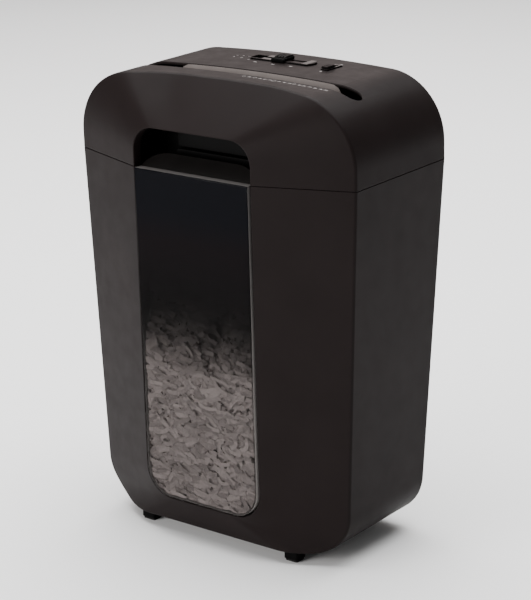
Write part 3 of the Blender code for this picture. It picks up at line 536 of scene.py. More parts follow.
def arch(half_width, crest_z, radius, foot_z, foot_half_width=None, crown=0.0):
    """Points (x, z) of a U with rounded corners, from its right foot round to its left foot."""
    up = 1.0 if crest_z > foot_z else -1.0
    foot = half_width if foot_half_width is None else foot_half_width
    centre_x = half_width - radius
    centre_z = crest_z - up*radius
    right = []
    for step in range(SIDE_STEPS):
        share = step/SIDE_STEPS
        right.append((foot + (half_width - foot)*share, foot_z + (centre_z - foot_z)*share))
    for step in range(CORNER_STEPS + 1):
        angle = 0.5*math.pi*step/CORNER_STEPS
        x = centre_x + radius*math.cos(angle)
        right.append((x, centre_z + up*radius*math.sin(angle)))
    for step in range(1, CROWN_STEPS):
        x = centre_x*(1.0 - step/CROWN_STEPS)
        right.append((x, crest_z + up*crown*(1.0 - (x/centre_x)**2)))
    left = [(-x, z) for x, z in reversed(right)]
    return right + [(0.0, crest_z + up*crown)] + left


def arch_pair(half_width, crest_z, radius, foot_z, growth, foot_half_width=None, crown=0.0):
    """A U line, and the same line grown all round, for the two sides of a wall."""
    up = 1.0 if crest_z > foot_z else -1.0
    grown_foot = None if foot_half_width is None else foot_half_width + growth
    return (arch(half_width, crest_z, radius, foot_z, foot_half_width, crown),
            arch(half_width + growth, crest_z + up*growth, radius + growth, foot_z, grown_foot, crown))


def at_depth(points, depth):
    """Put a U line's points at a depth along Y, which is a number or a function of x and z."""
    if callable(depth):
        return [(x, depth(x, z), z) for x, z in points]
    return [(x, depth, z) for x, z in points]


def smooth_step(low, high, value):
    """Share from 0 to 1, easing in and out, as value passes from low to high."""
    share = min(max((value - low)/(high - low), 0.0), 1.0)
    return share*share*(3.0 - 2.0*share)


def rounded_rectangle(low_x, high_x, low_y, high_y, radius, steps=6, straight=1):
    """Closed outline; straight is how many pieces each of its long sides has."""
    points = []
    centres = ((high_x - radius, high_y - radius), (low_x + radius, high_y - radius),
               (low_x + radius, low_y + radius), (high_x - radius, low_y + radius))
    for quarter, (centre_x, centre_y) in enumerate(centres):
        for step in range(steps + 1):
            angle = 0.5*math.pi*(quarter + step/steps)
            x = centre_x + radius*math.cos(angle)
            points.append((x, centre_y + radius*math.sin(angle)))
        if quarter % 2 == 0:
            start = Vector(points[-1])
            after = centres[quarter + 1]
            turn = 0.5*math.pi*(quarter + 1)
            end = Vector((after[0] + radius*math.cos(turn), after[1] + radius*math.sin(turn)))
            for step in range(1, straight):
                points.append(tuple(start.lerp(end, step/straight)))
    return points


def top_z(x):
    """Height of the head's top surface at x."""
    side = abs(x)
    if side <= CROWN_HALF_WIDTH:
        return SHOULDER_TOP_Z + CROWN_RISE*(1.0 - (side/CROWN_HALF_WIDTH)**2)
    fall = min(side - CROWN_HALF_WIDTH, SHOULDER_RADIUS)
    return SHOULDER_TOP_Z - SHOULDER_RADIUS + math.sqrt(SHOULDER_RADIUS**2 - fall**2)


# ---------------------------------------------------------------- casings

def opening_tool(sides, radius, low_z, flare, straight):
    """A cutter whose mouth opens out by flare where it leaves the top surface."""
    inner = rounded_rectangle(*sides, radius, 8, straight)
    low_x, high_x, low_y, high_y = sides
    wide = (low_x - flare, high_x + flare, low_y - flare, high_y + flare)
    outer = rounded_rectangle(*wide, radius + flare, 8, straight)
    loops = [[(x, y, low_z) for x, y in inner],
             [(x, y, top_z(x) - flare) for x, y in inner],
             [(x, y, top_z(x) + 0.03) for x, y in outer],
             [(x, y, top_z(x) + 12.0) for x, y in outer]]
    return stack(loops)


def shifted(depth, distance):
    """A depth function moved along Y."""
    return lambda x, z: depth(x, z) + distance


def nest(notch, rim_depth, band, front, rear, panel, panel_depth):
    """Rows of U lines from the notch's lip over the sloped front and back to the rear panel."""
    rim_row = at_depth(notch, rim_depth)
    crest_row = at_depth(band, front)
    slopes = between(rim_row, crest_row, FRONT_SLOPES)
    return [at_depth(notch, LIP_BACK_Y), rim_row, *slopes, crest_row,
            at_depth(band, rear), at_depth(panel, panel_depth)]


def casing(name, outer, inner):
    """A casing's wall between two nests of rows, with its outer edges rounded."""
    crest = 2 + FRONT_SLOPES
    weights = {1: 0.5, crest: 0.8, crest + 1: 1.0, crest + 2: 0.8}
    made = add_mesh(name, shell(outer, inner, weights, SEAM_EDGE_WEIGHT), "casing")
    round_marked_edges(made)
    return made


def head_cover():
    """The head's outer shell, with the mouths of the slot, the controls, the lenses and the gland."""
    foot_z = cover_low.z

    def front(x, z):
        return CREST_FRONT_Y + (SIDE_FRONT_Y - CREST_FRONT_Y)*smooth_step(*CREST_BEND, abs(x))

    notch, notch_in = arch_pair(NOTCH_HALF_WIDTH, NOTCH_TOP_Z, NOTCH_RADIUS, foot_z, WALL)
    band, band_in = arch_pair(SEAM_HALF_WIDTH, SHOULDER_TOP_Z, SHOULDER_RADIUS, foot_z, -WALL,
                              crown=CROWN_RISE)
    panel, panel_in = arch_pair(REAR_PANEL_HALF_WIDTH, REAR_PANEL_TOP_Z, REAR_PANEL_RADIUS, foot_z,
                                -PANEL_STEP)
    outer = nest(notch, RIM_Y, band, front, SIDE_REAR_Y, panel, REAR_PANEL_Y)
    inner = nest(notch_in, RIM_Y + 7.0, band_in, shifted(front, 1.8), SIDE_REAR_Y - 2.1,
                 panel_in, REAR_PANEL_Y - WALL)
    cover = casing("head_cover_shell", outer, inner)
    slot_sides = (-SLOT_HALF_LENGTH, SLOT_HALF_LENGTH) + SLOT_Y
    slot_radius = (SLOT_Y[1] - SLOT_Y[0])/2.0 - 0.01
    carve(cover, opening_tool(slot_sides, slot_radius, SLOT_CUT_Z, 0.9, 60))
    carve(cover, opening_tool(MODE_RECESS, MODE_RADIUS, CONTROL_CUT_Z, 0.5, 16))
    carve(cover, opening_tool(LOCK_RECESS, 1.2, CONTROL_CUT_Z, 0.4, 2))
    for x in LENS_X:
        half = LENS_HALF_WIDTH
        sides = (x - half, x + half, LENS_Y - half, LENS_Y + half)
        carve(cover, opening_tool(sides, half - 0.01, CONTROL_CUT_Z + 1.0, 0.2, 1))
    hole = GLAND_NECK_RADIUS + 0.4
    mouth = hole + 0.5
    carve(cover, turned_on_gland(((hole, gland_low.y - 5.0), (hole, REAR_PANEL_Y - 0.5),
                                  (mouth, REAR_PANEL_Y + 0.02), (mouth, REAR_PANEL_Y + 5.0))))
    finish_piece(cover, "head", ["head_cover"])


def turned_on_gland(profile):
    """A turned solid on the gland's axis, from pairs of a radius and a depth along Y."""
    middle_x = (gland_low.x + gland_high.x)/2.0
    middle_z = (gland_low.z + gland_high.z)/2.0
    loops = []
    for radius, y in profile:
        circle = disc_outline(middle_x, middle_z, radius, 48)
        loops.append([(x, y, z) for x, z in circle])
    return stack(loops)


def cord_gland():
    """The rubber gland of the mains lead: flange inside, rounded lip and a blind bore."""
    flange = (gland_high.x - gland_low.x)/2.0
    neck = GLAND_NECK_RADIUS
    end_y = gland_high.y
    profile = ((flange, gland_low.y), (flange, gland_low.y + 3.0), (neck, gland_low.y + 3.0),
               (neck, end_y - 0.5), (neck - 0.5, end_y), (neck - 2.0, end_y), (neck - 2.2, end_y - 0.8),
               (4.4, end_y - 0.8), (4.1, end_y - 1.0), (4.1, end_y - 3.0))
    add_piece("cord_gland_body", turned_on_gland(profile), "rubber", "head", ["cord_gland"])


def bin_shell():
    """The bin's shell, which tapers to its foot and is open where the window's tray sits."""
    foot_z = bin_high.z
    bottom_z = bin_low.z

    def front(x, z):
        low = smooth_step(BIN_TUCK_TOP_Z, bottom_z, z)
        tuck = BIN_TUCK*(1.0 - smooth_step(*BIN_TUCK_BEND, abs(x)))
        return SIDE_FRONT_Y - tuck*low

    def leaning(depth):
        return lambda x, z: depth - BIN_REAR_SLOPE*(foot_z - z)

    rear = leaning(SIDE_REAR_Y)
    rear_panel = leaning(REAR_PANEL_Y)
    notch_low = WINDOW_BOTTOM_Z - WINDOW_GAP
    notch_radius = WINDOW_RADIUS + WINDOW_GAP
    notch, notch_in = arch_pair(NOTCH_HALF_WIDTH, notch_low, notch_radius, foot_z, BIN_WALL)
    body, body_in = arch_pair(BIN_LOW_HALF_WIDTH, bottom_z, BIN_CORNER_RADIUS, foot_z, -BIN_WALL,
                              SEAM_HALF_WIDTH)
    panel, panel_in = arch_pair(BIN_PANEL_HALF_WIDTH, BIN_PANEL_LOW_Z, BIN_PANEL_RADIUS, foot_z,
                                -PANEL_STEP, REAR_PANEL_HALF_WIDTH)
    outer = nest(notch, RIM_Y, body, front, rear, panel, rear_panel)
    inner = nest(notch_in, RIM_Y + 6.5, body_in, shifted(front, 2.0), shifted(rear, -2.2),
                 panel_in, shifted(rear_panel, -BIN_WALL))
    finish_piece(casing("bin_casing", outer, inner), "bin", ["bin_shell"])


def window_outline(inset):
    """Closed outline of the window, made smaller all round by inset."""
    half_width = NOTCH_HALF_WIDTH - WINDOW_GAP - inset
    return arch(half_width, WINDOW_BOTTOM_Z + inset, WINDOW_RADIUS - inset, window_high.z - inset)


def window():
    """A smoked pane on the front of a tray that stands a little proud of the bin."""
    front_y = window_low.y
    wall = WINDOW_WALL
    pane_back = 1.3
    pane_steps = ((1.1, 0.0), (0.5, 0.1), (0.12, 0.4), (0.0, 0.8), (0.0, pane_back),
                  (wall + 0.1, pane_back), (wall + 0.1, 2.0))
    edge_steps = ((0.45, pane_back + 0.1), (0.12, pane_back + 0.25), (0.0, pane_back + 0.6),
                  (0.0, WINDOW_TRAY_DEPTH), (wall, WINDOW_TRAY_DEPTH), (wall, 4.0))
    pane, edging = ([at_depth(window_outline(inset), front_y + depth) for inset, depth in steps]
                    for steps in (pane_steps, edge_steps))
    add_piece("window_pane", stack(pane), "window", "bin", ["window_panel"], smooth=50.0)
    add_piece("window_edging", stack(edging, ring=True), "window_edge", "bin", ["window_panel"],
              smooth=50.0)


def tab_loop(inset, depth):
    """The arched outline of the grip tab on a plane that leans back."""
    lean = tab_high.y - tab_low.y - TAB_THICKNESS
    end_width = tab_high.x - TAB_CREST_HALF_WIDTH - inset
    height = tab_high.z - tab_low.z - inset
    right = []
    for step in range(CORNER_STEPS + 1):
        angle = 0.5*math.pi*step/CORNER_STEPS
        rise = math.sin(angle)
        x = TAB_CREST_HALF_WIDTH + end_width*math.cos(angle)
        right.append((x, tab_low.y + lean*rise + depth, tab_low.z + height*rise))
    return right + [(-x, y, z) for x, y, z in reversed(right)]


def grip_tab():
    """The leaning blade above the window, with rounded edges."""
    loops = []
    for inset, depth in ((0.9, 0.0), (0.3, 0.2), (0.0, 0.8), (0.0, TAB_THICKNESS - 0.8),
                         (0.3, TAB_THICKNESS - 0.2), (0.9, TAB_THICKNESS)):
        loops.append(tab_loop(inset, depth))
    add_piece("grip_tab_blade", stack(loops), "gloss_trim", "bin", ["grip_tab"], smooth=50.0)


def grip_well():
    """The lining of the lifting cutout, with two ledges on its back wall."""
    half_width = well_high.x
    outer, inner = arch_pair(half_width, well_high.z, 28.0, well_low.z, -2.0)
    front_y = well_low.y
    back_y = well_high.y
    rows_out = [at_depth(outer, front_y), at_depth(outer, back_y)]
    rows_in = [at_depth(inner, front_y), at_depth(inner, back_y - 2.0)]
    lining = shell(rows_out, rows_in, {}, 0.0)
    add_piece("grip_well_lining", lining, "black_plastic", "head", ["grip_well"])
    ledges = []
    for low_z, high_z, depth in WELL_LEDGES:
        outline = rounded_rectangle(-46.0, half_width - 2.3, low_z, high_z, 3.4, 6)
        ledges.append(stack([[(x, back_y - 2.1 - depth, z) for x, z in outline],
                             [(x, back_y - 2.1, z) for x, z in outline]]))
    add_piece("grip_well_ledges", join(ledges), "black_plastic", "head", edge=0.8)


def feet():
    """Four block feet, each with a thin rubber sole."""
    for row in ("front", "rear"):
        for side in ("left", "right"):
            node = "foot_" + row + "_" + side
            low, high = node_box(node)
            sole_z = low.z + 2.2
            sides = (low.x, high.x, low.y, high.y)
            inner = (low.x + 1.0, high.x - 1.0, low.y + 1.0, high.y - 1.0)
            foot = prism(rounded_rectangle(*sides, 2.4, 5), sole_z + 0.2, high.z + 0.2)
            add_piece(node + "_block", foot, "black_plastic", "bin", [node], edge=0.6)
            pad = prism(rounded_rectangle(*inner, 2.0, 5), low.z, sole_z + 0.2)
            add_piece(node + "_pad", pad, "rubber", "bin", edge=0.5)


# ---------------------------------------------------------------- paper

def bin_room(z):
    """Half the width inside the bin at a height, rounded corners counted."""
    centre_z = bin_low.z + BIN_CORNER_RADIUS
    lean = (SEAM_HALF_WIDTH - BIN_LOW_HALF_WIDTH)*max(z - centre_z, 0.0)/(bin_high.z - centre_z)
    drop = max(centre_z - z, 0.0)
    radius = BIN_CORNER_RADIUS - BIN_WALL
    corner = radius - math.sqrt(max(radius**2 - drop**2, 0.0))
    return BIN_LOW_HALF_WIDTH - BIN_WALL + lean - corner


def heap_front_y(x, z):
    """How far forward the heap reaches: against the pane low down, falling back near its top."""
    ridge = 1.0 + 0.05*math.sin(0.11*x) + 0.04*math.sin(0.047*x + 1.0)
    return HEAP_WINDOW_Y + HEAP_FALL*smooth_step(*HEAP_FALL_Z, z*ridge)


def kept_inside(place):
    """Move a point of a shred back behind the pane and between the tray's walls."""
    x, y, z = place
    room = window_low.y + 2.3
    if y < LIP_BACK_Y + 2.5:
        margin = WINDOW_WALL + 0.3
        half = NOTCH_HALF_WIDTH - WINDOW_GAP - margin
        low_z = WINDOW_BOTTOM_Z + margin
        corner = WINDOW_RADIUS - margin
        x = min(max(x, -half), half)
        z = max(z, low_z)
        over_x = abs(x) - (half - corner)
        over_z = (low_z + corner) - z
        if over_x > 0.0 and over_z > 0.0:
            reach = math.hypot(over_x, over_z)
            if reach > corner:
                x = math.copysign(half - corner + over_x*corner/reach, x)
                z = low_z + corner - over_z*corner/reach
    return Vector((x, max(y, room), z))


def shred(draw, centre, facing, across, length, width):
    """One curled strip of paper as a thin solid, centred on a point, lying along a direction."""
    edit = bmesh.new()
    out = facing.normalized()
    along = (across - out*across.dot(out)).normalized()
    across = out.cross(along)
    curl = draw.uniform(-0.7, 0.7)
    sway = draw.uniform(-1.2, 1.2) if draw.random() < 0.85 else draw.choice((-3.6, 3.6))
    twist = draw.uniform(-0.35, 0.35)
    steps = 7
    stride = length/steps
    place = centre - along*(length/2.0)
    rings = []
    for step in range(steps + 1):
        share = step/steps - 0.5
        heading = (Matrix.Rotation(sway*share, 3, out) @ Matrix.Rotation(curl*share, 3, across)) @ along
        side = (Matrix.Rotation(twist*share, 3, heading) @ across)
        side = (side - heading*side.dot(heading)).normalized()
        lift = heading.cross(side).normalized()*(SHRED_THICKNESS/2.0)
        side = side*(width/2.0)
        rings.append([edit.verts.new(kept_inside(place + a*side) + b*lift)
                      for a, b in ((-1, -1), (1, -1), (1, 1), (-1, 1))])
        place = place + heading*stride
    edit.faces.new(rings[0])
    edit.faces.new(list(reversed(rings[-1])))
    for near, far in zip(rings, rings[1:]):
        for index in range(4):
            after = (index + 1) % 4
            edit.faces.new((near[index], near[after], far[after], far[index]))
    return edit


def shreds():
    """Loose strips in layers against the window, and one more layer over the heap's top."""
    draw = random.Random(7)
    strips = []

    def strip(x, y, z, facing, across):
        length = draw.uniform(15.0, 27.0)
        strips.append(shred(draw, Vector((x, y, z)), facing, across, length, draw.uniform(3.6, 5.0)))

    for layer, count in ((0.0, 850), (1.6, 1000), (3.2, 1000)):
        for _ in range(count):
            x = draw.uniform(-70.0, 70.0)
            z = draw.uniform(46.0, 258.0)
            y = heap_front_y(x, z) + layer + draw.uniform(0.0, 1.7)
            facing = Vector((draw.uniform(-0.12, 0.12), -1.0, draw.uniform(-0.08, 0.2)))
            slope = draw.gauss(0.0, 0.45)
            strip(x, y, z, facing, Vector((math.cos(slope), 0.0, math.sin(slope))))
    for _ in range(1300):
        x = draw.uniform(-136.0, 136.0)
        y = draw.uniform(HEAP_FRONT_Y, -HEAP_FRONT_Y)
        z = HEAP_TOP_Z + draw.uniform(0.0, 7.0) - 14.0*(abs(x)/150.0)**2
        facing = Vector((draw.uniform(-0.6, 0.6), draw.uniform(-0.6, 0.6), 1.0))
        turn = draw.uniform(0.0, math.pi)
        strip(x, y, z, facing, Vector((math.cos(turn), math.sin(turn), 0.0)))
    add_piece("paper_shreds", join(strips), "paper", "bin", ["shredded_paper"], smooth=60.0)


def heap():
    """The mass of the heap under the loose strips."""
    rows = []
    columns = 48
    levels = 18
    low_z = bin_low.z + BIN_WALL + 0.5
    for step in range(levels + 1):
        z = low_z + (HEAP_TOP_Z - low_z)*step/levels
        half_width = min(bin_room(z) - 4.0, 148.0)
        loop = []
        for index in range(columns):
            angle = 2.0*math.pi*index/columns
            x = half_width*math.copysign(abs(math.cos(angle))**0.45, math.cos(angle))
            reach = math.copysign(abs(math.sin(angle))**0.45, math.sin(angle))
            front = max(heap_front_y(x, z) + 6.4, -88.0)
            inside = 1.0 - smooth_step(60.0, 140.0, abs(x))
            near = HEAP_FRONT_Y + (front - HEAP_FRONT_Y)*inside*smooth_step(14.0, 60.0, z)
            y = HEAP_REAR_Y*reach if reach > 0.0 else -near*reach
            wave = 1.6*math.sin(0.11*x + 0.05*z) + 1.2*math.sin(0.23*x - 0.08*z)
            loop.append((x, y + wave, z + (3.0*math.sin(0.09*x) if step == levels else 0.0)))
        rows.append(loop)
    for share, rise in ((0.75, 2.5), (0.4, 4.0)):
        rows.append([(x*share, y*share, z + rise) for x, y, z in rows[levels]])
    add_piece("paper_heap", stack(rows), "paper", "bin", ["shredded_paper"], smooth=60.0)


# ---------------------------------------------------------------- paper path and controls

def throat_guides():
    """Guides whose mouths curve up to the edges of the slot."""
    half = guide_high.x
    for name, inner_y, rim_y, away in (("front", -14.5, SLOT_Y[0], -1.0), ("rear", -9.5, SLOT_Y[1], 1.0)):
        loops = []
        sections = 40
        for step in range(sections + 1):
            x = -half + 2.0*half*step/sections
            past = max(x - MOUTH_END_X, -MOUTH_START_X - x, 0.0)
            fall = MOUTH_RADIUS - math.sqrt(max(MOUTH_RADIUS**2 - past**2, 0.0))
            crest = max(top_z(x) - 0.8 - fall, MOUTH_LOWEST_Z)
            face = [(inner_y, guide_low.z), (inner_y, MOUTH_FOOT_Z)]
            for part in range(1, 9):
                share = part/8.0
                y = inner_y + (rim_y - away*0.45 - inner_y)*share**1.7
                face.append((y, MOUTH_FOOT_Z + (crest - MOUTH_FOOT_Z)*share))
            rim = rim_y - away*0.12
            back = [(rim, crest), (rim, crest - 2.0), (rim - away*0.6, crest - 5.0),
                    (inner_y + away*2.0, MOUTH_FOOT_Z - 2.0), (inner_y + away*2.0, guide_low.z)]
            loops.append([(x, y, z) for y, z in face + back])
        node = "throat_guide_" + name
        add_piece(node + "_lip", stack(loops), "guide_plastic", "head", [node])


def island(name, recess, radius, crest_z, holes):
    """A raised island in one of the cover's openings: a dark skirt with a paler cap on it."""
    low_x, high_x, low_y, high_y = recess

    def outline(inset):
        sides = (low_x + inset, high_x - inset, low_y + inset, high_y - inset)
        return rounded_rectangle(*sides, radius - inset, 8)

    skirt = prism(outline(ISLAND_GAP), TRAY_TOP_Z - 1.0, crest_z - ISLAND_CAP - 0.02)
    cap_loops = []
    for inset, drop in ((0.0, ISLAND_CAP), (0.0, 0.25), (0.08, 0.08), (0.3, 0.0)):
        cap_loops.append([(x, y, crest_z - drop) for x, y in outline(ISLAND_GAP + inset)])
    for part, edit, material in (("_skirt", skirt, "black_plastic"), ("_cap", stack(cap_loops), "casing")):
        made = add_mesh(name + part, edit, material)
        for sides, corner, low_z in holes:
            carve(made, prism(rounded_rectangle(*sides, corner, 5), low_z, crest_z + 5.0))
        finish_piece(made, "head", ["control_tray"])


def control_islands():
    """The tray's two islands, the plate under them and the panels set into their caps."""
    below = TRAY_TOP_Z - 8.0
    island("mode_island", MODE_RECESS, MODE_RADIUS, tray_high.z,
           ((MODE_SLOT, 2.0, below), (MODE_POCKET, 2.0, TRAY_TOP_Z)))
    island("lock_island", LOCK_RECESS, 1.5, LOCK_ISLAND_TOP_Z, ((LOCK_SLOT, 1.5, below),))
    plate_sides = (tray_low.x, tray_high.x, tray_low.y, tray_high.y)
    edit = prism(rounded_rectangle(*plate_sides, 3.0, 5), tray_low.z, TRAY_TOP_Z - 0.6)
    made = add_mesh("control_tray_plate", edit, "black_plastic")
    for sides in (MODE_SLOT, LOCK_SLOT):
        carve(made, prism(rounded_rectangle(*sides, 1.5, 5), below, TRAY_TOP_Z + 5.0))
    finish_piece(made, "head", ["control_tray"])
    mode_y = (MODE_RECESS[2] + ISLAND_GAP + INLAY_EDGE, MODE_RECESS[3] - ISLAND_GAP - INLAY_EDGE)
    for name, low_x, high_x, material in (("mode_track_left", -20.5, -3.0, "recess_floor"),
                                          ("mode_track_mark", 16.0, 29.0, "casing"),
                                          ("mode_track_right", 29.4, 37.0, "recess_floor")):
        inlay(name, (low_x, high_x, *mode_y), tray_high.z, material, MODE_SLOT)
    lock_x = (LOCK_RECESS[0] + ISLAND_GAP + INLAY_EDGE, LOCK_RECESS[1] - ISLAND_GAP - INLAY_EDGE)
    lock_sides = (*lock_x, 51.0, LOCK_RECESS[3] - 0.9)
    inlay("lock_track", lock_sides, LOCK_ISLAND_TOP_Z, "recess_floor", LOCK_SLOT)


def inlay(name, sides, crest_z, material, slot_sides):
    """A thin panel set into an island's cap, open where the slot runs through it."""
    edit = prism(rounded_rectangle(*sides, 0.7, 4), crest_z - 0.3, crest_z + 0.14)
    made = add_mesh(name, edit, material)
    carve(made, prism(rounded_rectangle(*slot_sides, 2.0, 5), crest_z - 3.0, crest_z + 3.0))
    finish_piece(made, "head")


def mode_knob():
    """A ribbed slider: a core on a stem, an apron over the island's front edge, and ribs on top."""
    low, high = knob_low, knob_high
    base_z = tray_high.z + 0.3
    shoulder_z = base_z + 2.6
    middle_x = (low.x + high.x)/2.0
    middle_y = (low.y + high.y)/2.0
    core_loops = []
    for inset, z in ((0.2, base_z), (0.0, base_z + 0.3), (0.0, shoulder_z - 0.4), (0.8, shoulder_z + 0.6),
                     (2.0, high.z - 2.0)):
        sides = (low.x + inset, high.x - inset, low.y + inset, high.y - inset)
        core_loops.append([(x, y, z) for x, y in rounded_rectangle(*sides, 2.4, 5)])
    stem = block((middle_x - 3.0, middle_y - 2.0, low.z), (middle_x + 3.0, middle_y + 2.0, base_z + 0.5))
    island_front_y = MODE_RECESS[2]
    apron_loops = []
    for inset, z in ((0.3, cover_high.z + 0.35), (0.0, cover_high.z + 0.8), (0.0, shoulder_z - 0.8),
                     (1.0, shoulder_z + 0.2)):
        sides = (low.x + inset, high.x - inset, island_front_y - 2.6 + inset, island_front_y - 0.2)
        apron_loops.append([(x, y, z) for x, y in rounded_rectangle(*sides, 0.6, 5)])
    bridge = block((low.x + 0.6, island_front_y - 1.4, base_z + 0.3),
                   (high.x - 0.6, low.y + 2.0, shoulder_z - 0.8))
    edit = join([stack(core_loops), stem, stack(apron_loops), bridge])
    add_piece("mode_knob_core", edit, "black_plastic", "mode_knob", ["mode_knob"])
    ribs = []
    count = 4
    pitch = (high.x - low.x - 2.0)/count
    half_y = (high.y - low.y)/2.0 - 0.5
    rib_z = shoulder_z - 0.6
    for index in range(count):
        middle = low.x + 1.0 + pitch*(index + 0.5)
        loops = []
        for x in (middle - 1.1, middle + 1.1):
            profile = []
            for step in range(9):
                angle = math.pi*step/8
                y = middle_y + half_y*math.cos(angle)
                profile.append((x, y, rib_z + (high.z - rib_z)*math.sin(angle)**0.5))
            loops.append([(x, middle_y + half_y, shoulder_z - 1.4), *profile,
                          (x, middle_y - half_y, shoulder_z - 1.4)])
        ribs.append(stack(loops))
    add_piece("mode_knob_ribs", join(ribs), "knob_grey", "mode_knob", ["mode_knob"],
              edge=0.3, segments=2)


def lock_slider():
    """A small slider with four square ribs."""
    low, high = lock_low, lock_high
    base_z = LOCK_ISLAND_TOP_Z + 0.3
    middle_x = (low.x + high.x)/2.0
    foot = block((low.x, low.y, base_z), (high.x, high.y, base_z + 1.1))
    stem = block((middle_x - 1.6, low.y + 2.5, low.z), (middle_x + 1.6, high.y - 4.0, base_z + 0.5))
    add_piece("lock_slider_foot", join([foot, stem]), "black_plastic", "lock_slider", ["lock_slider"],
              edge=0.25, segments=2)
    ribs = []
    count = 4
    pitch = (high.y - low.y)/count
    for index in range(count):
        middle = low.y + pitch*(index + 0.5)
        ribs.append(block((low.x + 0.3, middle - 1.1, base_z + 0.9), (high.x - 0.3, middle + 1.1, high.z)))
    add_piece("lock_slider_ribs", join(ribs), "casing", "lock_slider", ["lock_slider"],
              edge=0.3, segments=2)


def plate(outline):
    """A thin printed shape that follows the top surface."""
    heights = (-MARK_DEPTH, MARK_THICKNESS)
    return stack([[(x, y, top_z(x) + height) for x, y in outline] for height in heights])


def ring_plate(x, y, radius, width):
    """A thin printed ring that follows the top surface."""
    outer, inner = [], []
    for step in range(20):
        angle = 2.0*math.pi*step/20
        for loop, reach in ((outer, radius), (inner, radius - width)):
            loop.append((x + reach*math.cos(angle), y + reach*math.sin(angle)))
    loops = []
    for outline, height in ((outer, -MARK_DEPTH), (outer, MARK_THICKNESS), (inner, MARK_THICKNESS),
                            (inner, -MARK_DEPTH)):
        loops.append([(px, py, top_z(px) + height) for px, py in outline])
    return stack(loops, ring=True)


def disc_outline(x, y, radius, sides=14):
    """Plan outline of a disc round a point."""
    return [(x + radius*math.cos(2.0*math.pi*step/sides), y + radius*math.sin(2.0*math.pi*step/sides))
            for step in range(sides)]


def bar_outline(x, y, half_x, half_y):
    """Plan outline of a bar round a point."""
    return [(x - half_x, y - half_y), (x + half_x, y - half_y), (x + half_x, y + half_y),
            (x - half_x, y + half_y)]


def printed_marks():
    """Plain dots, bars, rings and wedges that stand for what is printed on the top."""
    marks = []
    for x, y in POSITION_MARKS:
        marks.append(plate(bar_outline(x, y, 1.9, 0.8)))
    for x, y in LOCK_MARKS:
        marks.append(plate(disc_outline(x, y, 1.4)))
    for x, y in LENS_MARKS:
        marks.append(plate(bar_outline(x, y, 1.3, 0.4)))
        marks.append(plate(bar_outline(x, y + 1.4, 0.4, 0.5)))
    draw = random.Random(3)
    x = ICON_ROW[0]
    kind = 0
    while x < ICON_ROW[1]:
        size = draw.uniform(0.9, 1.3)
        y = ICON_ROW_Y + draw.uniform(-0.5, 0.5)
        if kind == 0:
            marks.append(ring_plate(x, y, 1.9*size, 0.55))
        elif kind == 1:
            marks.append(plate(bar_outline(x, y - 0.8, 2.0*size, 0.32)))
            marks.append(plate(bar_outline(x, y + 0.8, 1.4*size, 0.32)))
        elif kind == 2:
            marks.append(plate([(x - 1.8*size, y - 1.4), (x + 1.8*size, y - 1.4), (x, y + 1.5)]))
        elif kind == 3:
            marks.append(plate(bar_outline(x - 1.3, y, 0.35, 1.6*size)))
            marks.append(plate(bar_outline(x + 0.7, y, 1.0*size, 1.0)))
        else:
            marks.append(plate(disc_outline(x, y, 1.1*size)))
            marks.append(plate(bar_outline(x + 2.3, y, 0.7, 0.3)))
        kind = draw.choice([other for other in range(5) if other != kind])
        x += draw.uniform(4.4, 6.8)
    add_piece("printed_marks", join(marks), "ink", "head")


def carried_over_parts():
    """Give each part that keeps its own shape the finish of its slot."""
    slots = {row["node"]: row["material_slot"] for row in frame["record"]["subparts"]}
    for node, item in frame["nodes"].items():
        material = MATERIALS[slots[node]]
        item.data.materials.clear()
        item.data.materials.append(material)


# ---------------------------------------------------------------- floor, light and camera

def add_floor():
    """A plain pale floor that reaches past the edges of the picture."""
    edit = bmesh.new()
    bmesh.ops.create_grid(edit, x_segments=8, y_segments=8, size=30.0)
    mesh = bpy.data.meshes.new("floor")
    edit.to_mesh(mesh)
    edit.free()
    made, tree, shader = new_material("floor_paper")
    tone = ramp(tree, noise(tree, 0.8), 0.3, 0.7, (0.90, 0.90, 0.90), (0.94, 0.94, 0.94))
    tree.links.new(tone, shader.inputs["Base Color"])
    shader.inputs["Roughness"].default_value = 0.9
    mesh.materials.append(made)
    floor = bpy.data.objects.new("floor", mesh)
    bpy.context.scene.collection.objects.link(floor)


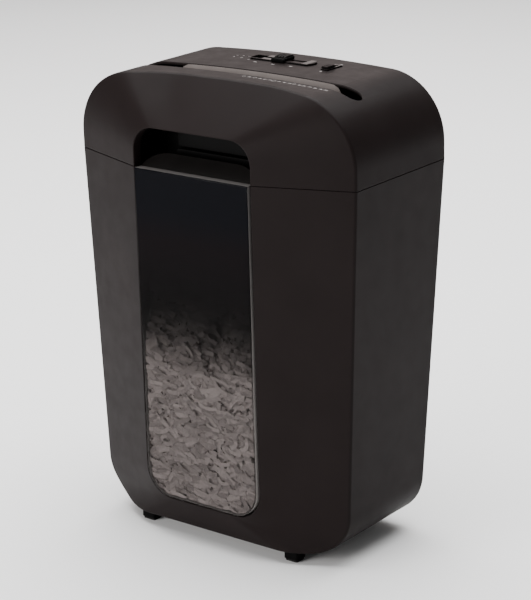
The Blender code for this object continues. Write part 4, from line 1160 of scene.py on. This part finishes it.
def add_lamp(name, place, aim, size, power, colour=(1.0, 1.0, 1.0)):
    """A soft rectangular lamp that faces a point; places and sizes are in metres."""
    lamp = bpy.data.lights.new(name, "AREA")
    lamp.shape = "RECTANGLE"
    lamp.size = size[0]
    lamp.size_y = size[1]
    lamp.energy = power
    lamp.color = colour
    item = bpy.data.objects.new(name, lamp)
    bpy.context.scene.collection.objects.link(item)
    item.location = place
    item.rotation_euler = (Vector(aim) - Vector(place)).to_track_quat("-Z", "Y").to_euler()


def add_lights():
    """Pale surroundings, a key light at the front left, one overhead and a weak warm one behind."""
    world = bpy.data.worlds.new("studio")
    world.use_nodes = True
    background = world.node_tree.nodes["Background"]
    background.inputs["Color"].default_value = (1.0, 1.0, 1.0, 1.0)
    background.inputs["Strength"].default_value = 0.22
    bpy.context.scene.world = world
    middle = (0.0, 0.0, 0.25)
    add_lamp("key_light", (-1.2, -3.0, 0.9), middle, (2.0, 1.6), 125.0, (1.0, 0.985, 0.97))
    add_lamp("top_light", (-0.3, 0.6, 3.0), (0.0, 0.1, 0.2), (3.6, 3.6), 300.0)
    add_lamp("back_light", (-1.9, 2.4, 1.7), (0.0, 0.0, 0.47), (1.8, 1.2), 11.0, (1.0, 0.84, 0.8))


def add_camera():
    """The camera at the photograph's angle, fitted to the machine's straight edges, in metres."""
    place = Vector((1.28267, -1.63109, 0.90827))
    target = Vector((0.00056, 0.0115, 0.234447))
    roll = math.radians(-1.586)
    ahead = (target - place).normalized()
    right = ahead.cross(Vector((0.0, 0.0, 1.0))).normalized()
    up = right.cross(ahead)
    rolled_right = right*math.cos(roll) + up*math.sin(roll)
    rolled_up = up*math.cos(roll) - right*math.sin(roll)
    lens = bpy.data.cameras.new("camera")
    lens.lens = 128.365
    lens.sensor_width = 36.0
    lens.clip_start = 0.05
    lens.clip_end = 200.0
    camera = bpy.data.objects.new("camera", lens)
    bpy.context.scene.collection.objects.link(camera)
    turn = Matrix((rolled_right, rolled_up, -ahead)).transposed()
    camera.matrix_world = Matrix.Translation(place) @ turn.to_4x4()
    bpy.context.scene.camera = camera


add_camera()
carried_over_parts()
head_cover()
cord_gland()
bin_shell()
window()
grip_tab()
grip_well()
feet()
heap()
shreds()
throat_guides()
control_islands()
mode_knob()
lock_slider()
printed_marks()
add_floor()
add_lights()
